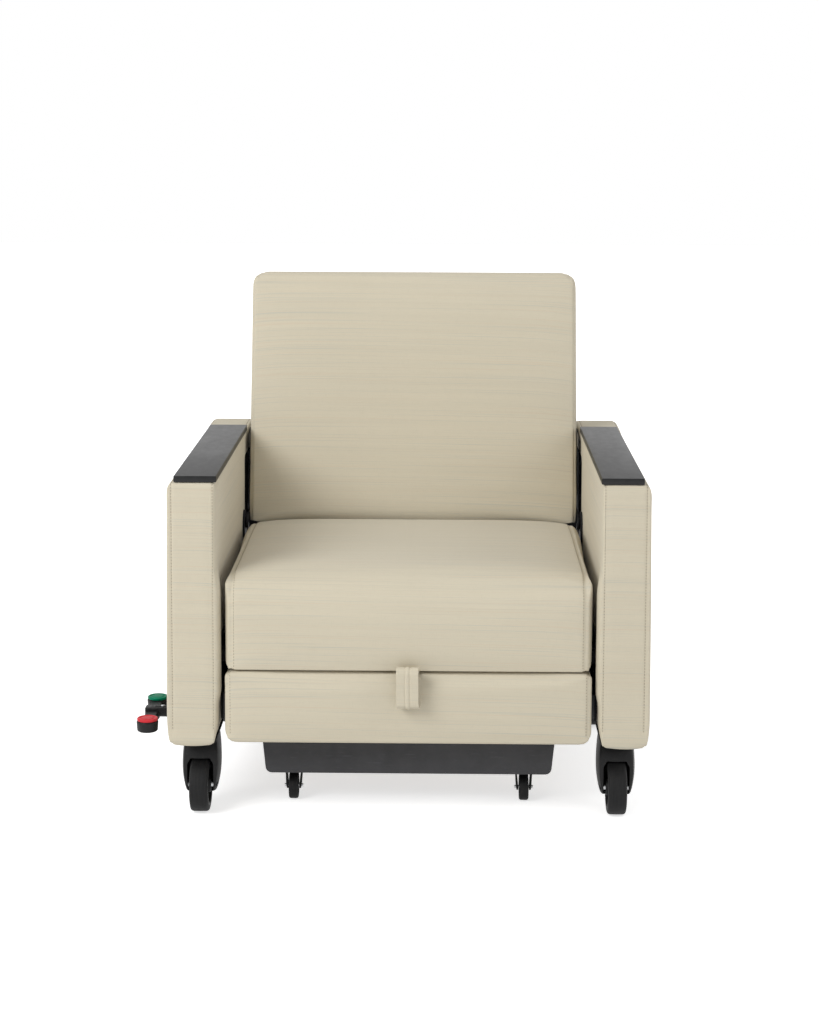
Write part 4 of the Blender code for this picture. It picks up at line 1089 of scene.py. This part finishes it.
class SLEEPCHAIR_OT_arms(bpy.types.Operator):
    """Upholstered arms with a stitched band round their edge"""

    bl_idname = "sleep_chair.arms"
    bl_label = "Arms"

    def execute(self, context):
        pad = settings().padding
        low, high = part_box("arm_upholstery_left")
        start = low + Vector((pad.arm_swell, pad.arm_swell, 0.0))
        end = high - Vector((pad.arm_swell, pad.arm_swell, -pad.arm_lift))
        obj = stuffed_block(
            "arm_pad_left", start, end,
            [
                (0, -1, 1, 0.006), (0, -1, -1, 0.010), (0, 1, 1, 0.016), (0, 1, -1, 0.014),
                (1, 1, 1, 0.006), (1, -1, 1, 0.016), (1, -1, -1, 0.013), (1, 1, -1, 0.010),
                (2, -1, -1, 0.0050), (2, 1, -1, 0.0035), (2, -1, 1, 0.012), (2, 1, 1, 0.012),
            ],
        )

        def held(at):
            rim = np.minimum(at[:, 0] - start.x, end.x - at[:, 0])
            flat = (at[:, 2] > end.z - 0.003) | (at[:, 2] < start.z + 0.003)
            return np.where(flat, 1.0, np.where(np.abs(rim - 0.006) < 0.004, 0.8, 0.0))

        swell(obj, held, (pad.arm_swell, pad.arm_swell, 0.001))
        self.shape(obj, low, high)
        finer(obj)
        centre = ((low.y + high.y) / 2, low.z + 0.12)
        rows = [seam_path(obj, x, centre, 193.0, -13.0, 400) for x in (low.x + 0.0128, high.x - 0.0048)]
        draw_in(obj, rows, 0.0008, 0.0022)
        pieces = {"left": obj, "right": twin(obj, "arm_pad_right", mirror=HINGE.x)}
        mirrored = [[Vector((2 * HINGE.x - point.x, point.y, point.z)) for point in row] for row in rows]
        for side, sign in SIDES:
            self.hollow(pieces[side], side, sign)
            upholster(pieces[side], "base", f"arm_upholstery_{side}")
            stitches(f"arm_stitches_{side}", "base", pieces[side], rows if side == "left" else mirrored)
        return {"FINISHED"}

    def shape(self, obj, low, high):
        """The left arm's fuller and softer places."""
        where = points(obj)
        across = (where[:, 0] - (low.x + high.x) / 2) / (high.x - low.x) * 2
        depth = (where[:, 1] - low.y).clip(0.0, None)
        # The front's foot hangs lower and is narrower, and the rear's top is higher
        near = (1.0 - depth / 0.030).clip(0.0, 1.0)
        deep = (1.0 - (where[:, 2] - low.z) / 0.055).clip(0.0, 1.0)
        behind = ((where[:, 1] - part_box("arm_cap_left")[1].y) / 0.05).clip(0.0, 1.0)
        tall = ((where[:, 2] - low.z) / (high.z - low.z)).clip(0.0, 1.0)
        drop = 0.003 + 0.005 * (1.0 - across ** 2).clip(0.0, 1.0)
        where[:, 2] += 0.004 * behind * tall ** 8 - near * deep * drop
        where[:, 0] -= np.where(across > 0, 0.0028, 0.0055) * across * deep ** 2
        # A soft roll runs down the inner front edge, flatter beside the slide
        roll = np.sqrt(1.0 - (1.0 - (depth / 0.010).clip(0.0, 1.0)) ** 2) * ease_in((0.070 - depth) / 0.048)
        level = ease_in((0.478 - where[:, 2]) / 0.050) * ease_in((where[:, 2] - low.z - 0.006) / 0.045)
        above_slide = ease_in((where[:, 2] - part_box("slide_channel_left")[1].z - 0.003) / 0.014)
        plump = 0.0034 + 0.0046 * above_slide
        where[:, 0] += plump * roll * level * ((across - 0.80) / 0.20).clip(0.0, 1.0)
        # The outer side leans in, and the inner rear top edge is fuller
        where[:, 0] += 0.0035 * (-across).clip(0.0, 1.0) * tall ** 2
        brim = ease_in((where[:, 2] - high.z + 0.0115) / 0.008) * ease_in((depth - 0.60) / 0.06)
        where[:, 0] += 0.0045 * brim * ((across - 0.60) / 0.40).clip(0.0, 1.0)
        put(obj, where)

    def hollow(self, obj, side, sign):
        """Room in an arm for its steel hoop, the brake linkage and the pedal's bush."""
        low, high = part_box(f"arm_upholstery_{side}")
        plate_low, plate_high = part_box(f"base_plate_{side}")
        rod_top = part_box(f"brake_rod_{side}")[1].z

        def side_hole(name, radius, joint, length, sides):
            start = Vector((PIVOTS[f"caster_swivel_front_{side}"].x, *PIVOTS[joint].yz))
            return drum(name, radius, start, start + Vector((length, 0.0, 0.0)), sides)

        tools = [
            block(
                "linkage_room", (plate_low.x + 0.002, low.y + 0.028, low.z - 0.05),
                (plate_high.x - 0.002, high.y - 0.028, rod_top + 0.0065),
            ),
            room(*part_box(f"arm_frame_{side}"), 0.0005),
            side_hole("bar_hole", 0.0069, "rear_brake_turn", -sign * 0.08, 24),
        ]
        if side == "left":
            tools.append(side_hole("bush_hole", 0.0127, "pedal_rock", -0.1, 48))
        return carve(obj, "DIFFERENCE", *tools)


class SLEEPCHAIR_OT_strap(bpy.types.Operator):
    """Pull strap: a folded loop of cloth with two pressed fold lines along it"""

    bl_idname = "sleep_chair.strap"
    bl_label = "Pull strap"

    def execute(self, context):
        low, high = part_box("pull_strap")
        thick, half = 0.0021, 0.0213
        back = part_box("foot_pad")[0].y - 0.0005
        slit = high.z - 0.0026
        front, top, bottom = low.y, high.z + 0.013, low.z + 0.008

        def bend(cy, cz, radius, start, end, count=7):
            turns = [math.radians(start + (end - start) * i / count) for i in range(count + 1)]
            return [(cy + radius * math.cos(t), cz + radius * math.sin(t)) for t in turns]

        # The route of the strap's middle as y, z: from its tail on the pad, over the top and round the loop
        inner, upper, lower = thick / 2, 0.013, 0.011
        route = [(high.y, slit), (back + 0.012, slit)]
        route += [(back + 0.001, slit + 0.0004), (back - 0.006, slit + 0.0052)]
        route += bend(front + upper, top - upper, upper - inner, 75, 180)
        route += [(front + inner, z) for z in (top - 0.025, (top + bottom) / 2, bottom + 0.022)]
        route += bend(front + lower, bottom + lower, lower - inner, 180, 270)
        route += bend(back - lower, bottom + lower, lower - inner, 270, 360)
        route += [(back - inner, z) for z in ((top + bottom) / 2, slit - 0.014, slit - 0.0060)]
        alone()
        bpy.ops.mesh.primitive_grid_add(x_subdivisions=36, y_subdivisions=len(route) - 1, size=2.0)
        obj = named("pull_strap_loop")
        grid = points(obj)
        row = np.rint((grid[:, 1] + 1) / 2 * (len(route) - 1)).astype(int)
        route = np.array(route)
        way = np.gradient(route, axis=0)
        way /= np.linalg.norm(way, axis=1)[:, None]
        out = np.stack([way[:, 1], -way[:, 0]], axis=1)
        across = grid[:, 0]
        fold = sum(np.exp(-(((across - at) * half / 0.0014) ** 2)) for at in (-0.20, 0.22))
        lift_up = 0.0009 * np.exp(-((across * half / 0.0040) ** 2)) - 0.0013 * fold
        middle, loop_foot = (low.x + high.x) / 2, 22
        sway = 0.0040 * ((row - loop_foot) / (len(route) - loop_foot)).clip(0.0, 1.0)
        sway -= 0.0012 * np.sin(row / len(route) * 6.0)
        where = np.stack(
            [
                middle + across * (half - 0.001) + sway * (row > 2),
                route[row, 0] + out[row, 0] * lift_up, route[row, 1] + out[row, 1] * lift_up,
            ],
            axis=1,
        )
        put(obj, where)
        finer(obj)
        apply(obj, "SOLIDIFY", thickness=thick * 0.8, offset=0.0)
        ease(obj, 0.0006, 2, 50.0)
        closed(obj)
        weave_map(obj)
        keep(obj, "foot", "cloth", "pull_strap", 50.0)
        return {"FINISHED"}


class SLEEPCHAIR_OT_caps(bpy.types.Operator):
    """Arm caps with eased edges"""

    bl_idname = "sleep_chair.caps"
    bl_label = "Arm caps"

    def execute(self, context):
        low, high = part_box("arm_cap_left")
        lift = settings().padding.arm_lift
        start, end = low + Vector((0.002, 0.0, lift)), high + Vector((0.004, 0.0, lift))
        left = bevel(block("arm_cap_top_left", start, end), 0.0014, 4)
        right = twin(left, "arm_cap_top_right", mirror=HINGE.x)
        keep(left, "base", "cap", "arm_cap_left", 35.0)
        keep(right, "base", "cap", "arm_cap_right", 35.0)
        return {"FINISHED"}


class SLEEPCHAIR_OT_casters(bpy.types.Operator):
    """Swivel casters under the arms: hood, tread, wheel centre and axle bolt"""

    bl_idname = "sleep_chair.casters"
    bl_label = "Casters"

    def hood(self, stem, axle):
        """The left front caster's hood: a rounded block with a well and an arch for its wheel."""
        low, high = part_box("caster_fork_front_left")
        top = stem.z - 0.0003
        alone()
        bpy.ops.mesh.primitive_cube_add(size=2.0)
        obj = named("caster_hood")
        edit(obj, lambda: bpy.ops.mesh.subdivide(number_cuts=19))
        share = points(obj)
        rise = (share[:, 2] + 1) / 2
        tip = low.z
        z = tip + (top - tip) * rise
        half = (high.x - low.x) / 2
        draw = np.where(rise > 0.5, 0.004, 0.0075) * (2 * rise - 1) ** 2
        heights = [tip, tip + 0.004, tip + 0.0135, 0.066, 0.085, 0.100, 0.115, 0.130, top]
        fronts = [-0.043, -0.0505, -0.0535, -0.0548, -0.0552, -0.0540, -0.0505, -0.0440, -0.0385]
        rears = [0.006, 0.0140, 0.0185, 0.021, 0.0255, 0.029, 0.032, 0.034, 0.034]
        front, rear = np.interp(z, heights, fronts), np.interp(z, heights, rears)
        a, b = share[:, 0], share[:, 1]
        soft = 0.45
        round_a = a * (1 - soft + soft * np.sqrt(1 - b * b / 2))
        round_b = b * (1 - soft + soft * np.sqrt(1 - a * a / 2))
        x = stem.x + round_a * (half - draw)
        y = stem.y + (front + rear) / 2 + round_b * (rear - front) / 2
        put(obj, np.stack([x, y, z], axis=1))
        apply(obj, "SMOOTH", factor=0.5, iterations=2)
        well = cross_bar("well", 0.0545, axle, 0.0204, 64)
        ease(well, 0.0050, 4, 60.0)
        arch_half = 0.0244
        arch = block(
            "arch", (axle.x - arch_half, axle.y - 0.04, 0.0),
            (axle.x + arch_half, axle.y + 0.0040, axle.z + 0.0515),
        )
        ease(arch, 0.0125, 6, 60.0)
        bore = cross_bar("bore", 0.0053, axle, 0.06, 32)
        carve(obj, "DIFFERENCE", well, arch, bore)
        ease(obj, 0.0009, 2, 45.0)
        crown = drum("crown", 0.026, (stem.x, stem.y, top - 0.004), (stem.x, stem.y, top))
        pin = drum("stem", 0.010, (stem.x, stem.y, top - 0.004), (stem.x, stem.y, high.z))
        return carve(obj, "UNION", crown, pin)

    def execute(self, context):
        stem, axle = PIVOTS["caster_swivel_front_left"], PIVOTS["wheel_roll_front_left"]
        tread = [
            (-0.0172, 0.0390), (-0.0176, 0.0435), (-0.0168, 0.0468), (-0.0150, 0.0489), (-0.0120, 0.0498),
            (0.0, 0.0500), (0.0120, 0.0498), (0.0150, 0.0489), (0.0168, 0.0468), (0.0176, 0.0435),
            (0.0172, 0.0390), (0.0, 0.0387),
        ]
        rim = [
            (-0.0174, 0.0388), (-0.0174, 0.0362), (-0.0155, 0.0345), (-0.0108, 0.0330), (-0.0096, 0.0295),
            (-0.0096, 0.0185), (-0.0112, 0.0160), (-0.0190, 0.0145), (-0.0198, 0.0130), (-0.0198, 0.0054),
        ]
        rim += [(-x, r) for x, r in reversed(rim)]
        hood = self.hood(stem, axle)
        tread = lathe("caster_tread", tread, axle, 96)
        rim = lathe("caster_centre", rim, axle, 72)
        bolt = bevel(cross_bar("caster_bolt", 0.0050, axle, 0.0275), 0.0007, 2)
        models = (
            (hood, "caster", "black_plastic", "moulded", "caster_fork", 42.0),
            (tread, "wheel", "tyre", "tread", "caster_wheel", 50.0),
            (rim, "wheel", "black_plastic", "moulded", None, 35.0),
            (bolt, "caster", "zinc", "zinc", "caster_axle", 35.0),
        )
        spread(models, "caster_swivel", CASTER_SPOTS)
        return {"FINISHED"}


class SLEEPCHAIR_OT_leg_casters(bpy.types.Operator):
    """Small twin-sided casters under the leg panel"""

    bl_idname = "sleep_chair.leg_casters"
    bl_label = "Leg casters"

    def prongs(self, middle):
        """The left CAD fork with thicker legs that taper to their tips."""
        fork = merged_copy("leg_caster_fork_left")
        fork.name = fork.data.name = "leg_caster_prongs"
        where = points(fork)
        away = where[:, 0] - middle
        inner = (np.abs(away) > 0.0095) & (np.abs(away) < 0.0160) & (where[:, 2] < 0.0525)
        away[inner] = np.sign(away[inner]) * 0.0104
        limit = np.interp(where[:, 2], [0.0185, 0.0390], [0.0132, 0.0172])
        where[:, 0] = middle + np.sign(away) * np.minimum(np.abs(away), limit)
        put(fork, where)
        return smooth(ease(fork, 0.0007, 2))

    def execute(self, context):
        axle = PIVOTS["leg_wheel_roll_left"]
        half = [
            (-0.0090, 0.0034), (-0.0090, 0.0080), (-0.0070, 0.0092), (-0.0066, 0.0185), (-0.0084, 0.0198),
            (-0.0089, 0.0222), (-0.0076, 0.0243), (-0.0050, 0.0250),
        ]
        profile = half + [(-x, r) for x, r in reversed(half)]
        wheel = lathe("leg_wheel_tread", profile, axle, 64)
        pin = bevel(cross_bar("leg_caster_pin", 0.0029, axle, 0.0178, 32), 0.0005, 2)
        models = (
            (self.prongs(axle.x), "leg_caster", "black_plastic", "moulded", "leg_caster_fork", 40.0),
            (wheel, "leg_wheel", "tyre", "tread", "leg_caster_wheel", 40.0),
            (pin, "leg_caster", "zinc", "zinc", "leg_caster_axle", 35.0),
        )
        spread(models, "leg_wheel_roll", [side for side, _ in SIDES])
        return {"FINISHED"}


class SLEEPCHAIR_OT_pedal(bpy.types.Operator):
    """Rocking brake pedal: lever with two cups, red and green pads, bush and clamp screw"""

    bl_idname = "sleep_chair.pedal"
    bl_label = "Brake pedal"

    def execute(self, context):
        rock = PIVOTS["pedal_rock"]
        pads = {}
        for colour in ("red", "green"):
            low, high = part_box(f"{colour}_pedal_pad")
            pads[colour] = (low + high) / 2, (high.x - low.x) / 2, low.z, high.z
        saddle_top = rock.z + 0.0090
        self.lever(rock, pads, saddle_top)
        self.pad_faces(pads)
        keep(eased_copy("pedal_bush", 0.0008), "base", "moulded", "pedal_bush")

        low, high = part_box("pedal_screw")
        at = (low + high) / 2
        head = saddle_top + high.z - low.z
        screw = drum("pedal_screw_head", 0.0035, (at.x, at.y, saddle_top + 0.0002), (at.x, at.y, head), 40)
        ease(screw, 0.0008, 3, 50.0)
        socket = drum("socket", 0.0017, (at.x, at.y, head - 0.0016), (at.x, at.y, head + 0.01), 6)
        carve(screw, "DIFFERENCE", socket)
        keep(screw, "pedal", "zinc", "pedal_screw", 35.0)
        return {"FINISHED"}

    def lever(self, rock, pads, saddle_top):
        """A hub on the shaft, a bar that widens to its middle, a saddle over both, and two cups."""
        lever_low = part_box("pedal_lever")[0]
        middle = pads["red"][0].x
        reach = pads["green"][0].y - rock.y
        cup_top, cup_low = pads["red"][2] - 0.0003, lever_low.z
        hub_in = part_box("pedal_bush")[0].x - 0.0005
        lever = drum("pedal_arm", 0.0105, (hub_in, rock.y, rock.z), (middle + 0.004, rock.y, rock.z), 56)
        ease(lever, 0.0014, 3, 50.0)
        bar_half, saddle_half = 0.0105, 0.0115
        bar = block(
            "bar", (middle - bar_half, rock.y - reach, cup_low + 0.0025),
            (middle + bar_half, rock.y + reach, cup_top - 0.0006),
        )
        edit(bar, lambda: bpy.ops.mesh.subdivide(number_cuts=15))
        where = points(bar)
        along = (np.abs(where[:, 1] - rock.y) / reach).clip(0, 1)
        where[:, 0] = middle + (where[:, 0] - middle) * (1.22 - 0.32 * np.sin(np.pi * 0.5 * along))
        put(bar, where)
        ease(bar, 0.0016, 3, 50.0)
        saddle = block(
            "saddle", (middle - 0.0135, rock.y - saddle_half, rock.z - 0.006),
            (hub_in - 0.0007, rock.y + saddle_half, saddle_top),
        )
        ease(saddle, 0.0018, 3, 50.0)
        carve(lever, "UNION", bar, saddle)
        for centre, radius, _, _ in pads.values():
            spot = np.array(centre)[:2]
            cup = drum("cup", radius - 0.0001, (*spot, cup_low), (*spot, cup_top), 64)
            where = points(cup)
            low_ring = where[:, 2] < cup_low + 0.001
            where[low_ring, :2] = spot + (where[low_ring, :2] - spot) * 0.93
            put(cup, where)
            ease(cup, 0.0034, 4, 50.0)
            carve(lever, "UNION", cup)
        bore = drum("bore", 0.0067, (hub_in + 0.01, rock.y, rock.z), (lever_low.x - 0.02, rock.y, rock.z), 6)
        carve(lever, "DIFFERENCE", bore)
        keep(lever, "pedal", "moulded", "pedal_lever", 40.0)

    def pad_faces(self, pads):
        """The round pads in the cups, with a ring pressed into their tops."""
        centre, radius, bottom, top = pads["red"]
        radius -= 0.0013
        base, face = bottom - centre.z, top - centre.z
        profile = [
            (base, 0.0), (base, radius - 0.0004), (base + 0.0008, radius), (face - 0.0016, radius),
            (face - 0.0004, radius - 0.0009), (face, radius - 0.0024), (face - 0.0002, 0.0150),
            (face - 0.0013, 0.0140), (face - 0.0013, 0.0118), (face - 0.0003, 0.0108),
            (face + 0.0001, 0.0060), (face + 0.0001, 0.0),
        ]
        red = lathe("red_pad_face", profile, centre, 64, (0.0, 0.0, 1.0))
        green = twin(red, "green_pad_face", pads["green"][0] - centre)
        keep(red, "pedal", "red", "red_pedal_pad", 35.0)
        keep(green, "pedal", "green", "green_pedal_pad", 35.0)


class SLEEPCHAIR_OT_steelwork(bpy.types.Operator):
    """Leg panel, plates, rails, slides, boards and brake linkage"""

    bl_idname = "sleep_chair.steelwork"
    bl_label = "Steelwork"

    EASED = {
        "leg_panel": ("foot", "grey_paint", "panel", 0.0010),
        "rear_cover": ("base", "grey_paint", "panel", 0.0010),
        "rear_rail": ("base", "dark_steel", "steel", 0.0020),
        "seat_rail_front": ("base", "dark_steel", "steel", 0.0020),
        "seat_rail_rear": ("base", "dark_steel", "steel", 0.0020),
    }
    EASED_SIDES = {
        "side_plate": ("base", "dark_steel", "steel", 0.0006),
        "back_hinge_arm": ("back", "dark_steel", "steel", 0.0006),
        "foot_runner": ("foot", "dark_steel", "steel", 0.0006),
    }

    def execute(self, context):
        pieces = dict(self.EASED)
        for name, facts in self.EASED_SIDES.items():
            for side, _ in SIDES:
                pieces[f"{name}_{side}"] = facts
        for node, (body, slot, look, width) in pieces.items():
            keep(eased_copy(node, width), body, look, node)
        looks = {"dark_steel": "steel", "zinc": "zinc", "board": "board", "black_plastic": "moulded"}
        slots = {part["node"]: part["material_slot"] for part in frame["record"]["subparts"]}
        for node, obj in frame["nodes"].items():
            if slots[node] in looks:
                look = "black_zinc" if node.startswith("slide") else looks[slots[node]]
                obj.data.materials.clear()
                obj.data.materials.append(finish(look))
        return {"FINISHED"}


class SLEEPCHAIR_OT_stage(bpy.types.Operator):
    """Pale floor, soft studio light and the camera"""

    bl_idname = "sleep_chair.stage"
    bl_label = "Stage"

    def lamp(self, name, power, extent, place, target):
        light = bpy.data.lights.new(name, "AREA")
        light.energy = power
        light.shape = "RECTANGLE"
        light.size, light.size_y = extent
        obj = bpy.data.objects.new(name, light)
        obj.location = place
        obj.rotation_euler = (Vector(target) - Vector(place)).to_track_quat("-Z", "Y").to_euler()
        bpy.context.scene.collection.objects.link(obj)

    def execute(self, context):
        stage = settings().stage
        scene = context.scene
        alone()
        bpy.ops.mesh.primitive_plane_add(size=24.0, location=(0.0, 4.0, 0.0))
        floor = named("studio_floor")
        f = Finish("studio_floor")
        away = f.node("ShaderNodeVectorMath", {"operation": "LENGTH"}, {0: f.place()}, 1)
        away = away.between(0.55, 0.95)
        glow = f.mix(rgba((stage.glow,) * 3), (1.0, 1.0, 1.0, 1.0), away)
        f.set(base_color=rgba(stage.floor), roughness=0.9, emission_strength=1.0)
        f.set(emission_color=f.mix((0.0, 0.0, 0.0, 1.0), glow, f.seen()))
        floor.data.materials.append(f.material)

        world = bpy.data.worlds.new("studio")
        scene.world = world
        f = Finish(world, "Background")
        f.set(color=(1.0, 1.0, 1.0, 1.0), strength=f.seen() * (1.0 - stage.fill) + stage.fill)

        self.lamp("key", stage.key, (2.2, 2.2), (-2.9, -2.9, 3.0), (0.0, -0.1, 0.45))
        self.lamp("side", stage.key * 0.22, (1.6, 2.4), (3.4, -1.4, 1.9), (0.1, 0.0, 0.5))

        camera = bpy.data.cameras.new("camera")
        camera.sensor_width = 36.0
        camera.lens = stage.focus
        camera.shift_y = stage.rise
        camera.clip_end = 100.0
        eye = bpy.data.objects.new("camera", camera)
        low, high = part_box("arm_upholstery_left")[0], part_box("arm_upholstery_right")[1]
        eye.location = ((low.x + high.x) / 2 + stage.aside, low.y - stage.distance, stage.height)
        turn = Matrix.Rotation(math.radians(stage.yaw), 3, "Z")
        turn @= Matrix.Rotation(math.radians(90.0 - stage.pitch), 3, "X")
        turn @= Matrix.Rotation(math.radians(stage.roll), 3, "Z")
        eye.rotation_euler = turn.to_euler()
        scene.collection.objects.link(eye)
        scene.camera = eye
        scene.view_settings.view_transform = "Standard"
        return {"FINISHED"}


class SLEEPCHAIR_PT_looks(bpy.types.Panel):
    """Settings and steps of the sleep chair's looks"""

    bl_idname = "SLEEPCHAIR_PT_looks"
    bl_label = "Sleep chair"
    bl_space_type = "VIEW_3D"
    bl_region_type = "UI"
    bl_category = "Sleep chair"

    def draw(self, context):
        layout = self.layout
        for title in ("cloth", "padding", "finish", "stage"):
            group = getattr(context.scene.sleep_chair, title)
            box = layout.box()
            box.label(text=title.title())
            for name in group.__annotations__:
                box.prop(group, name)
        for step in STEPS:
            layout.operator(step.bl_idname)


STEPS = (
    SLEEPCHAIR_OT_stage,
    SLEEPCHAIR_OT_arms,
    SLEEPCHAIR_OT_caps,
    SLEEPCHAIR_OT_seat,
    SLEEPCHAIR_OT_back,
    SLEEPCHAIR_OT_lining,
    SLEEPCHAIR_OT_foot_pad,
    SLEEPCHAIR_OT_strap,
    SLEEPCHAIR_OT_casters,
    SLEEPCHAIR_OT_leg_casters,
    SLEEPCHAIR_OT_pedal,
    SLEEPCHAIR_OT_steelwork,
)
GROUPS = (ClothSettings, PaddingSettings, FinishSettings, StageSettings, ChairSettings)
CLASSES = (*GROUPS, *STEPS, SLEEPCHAIR_PT_looks)


def register():
    for cls in CLASSES:
        bpy.utils.register_class(cls)
    bpy.types.Scene.sleep_chair = PointerProperty(type=ChairSettings)


def unregister():
    del bpy.types.Scene.sleep_chair
    for cls in reversed(CLASSES):
        bpy.utils.unregister_class(cls)


def main():
    register()
    for step in STEPS:
        group, name = step.bl_idname.split(".")
        getattr(getattr(bpy.ops, group), name)()


if __name__ == "__main__":
    main()
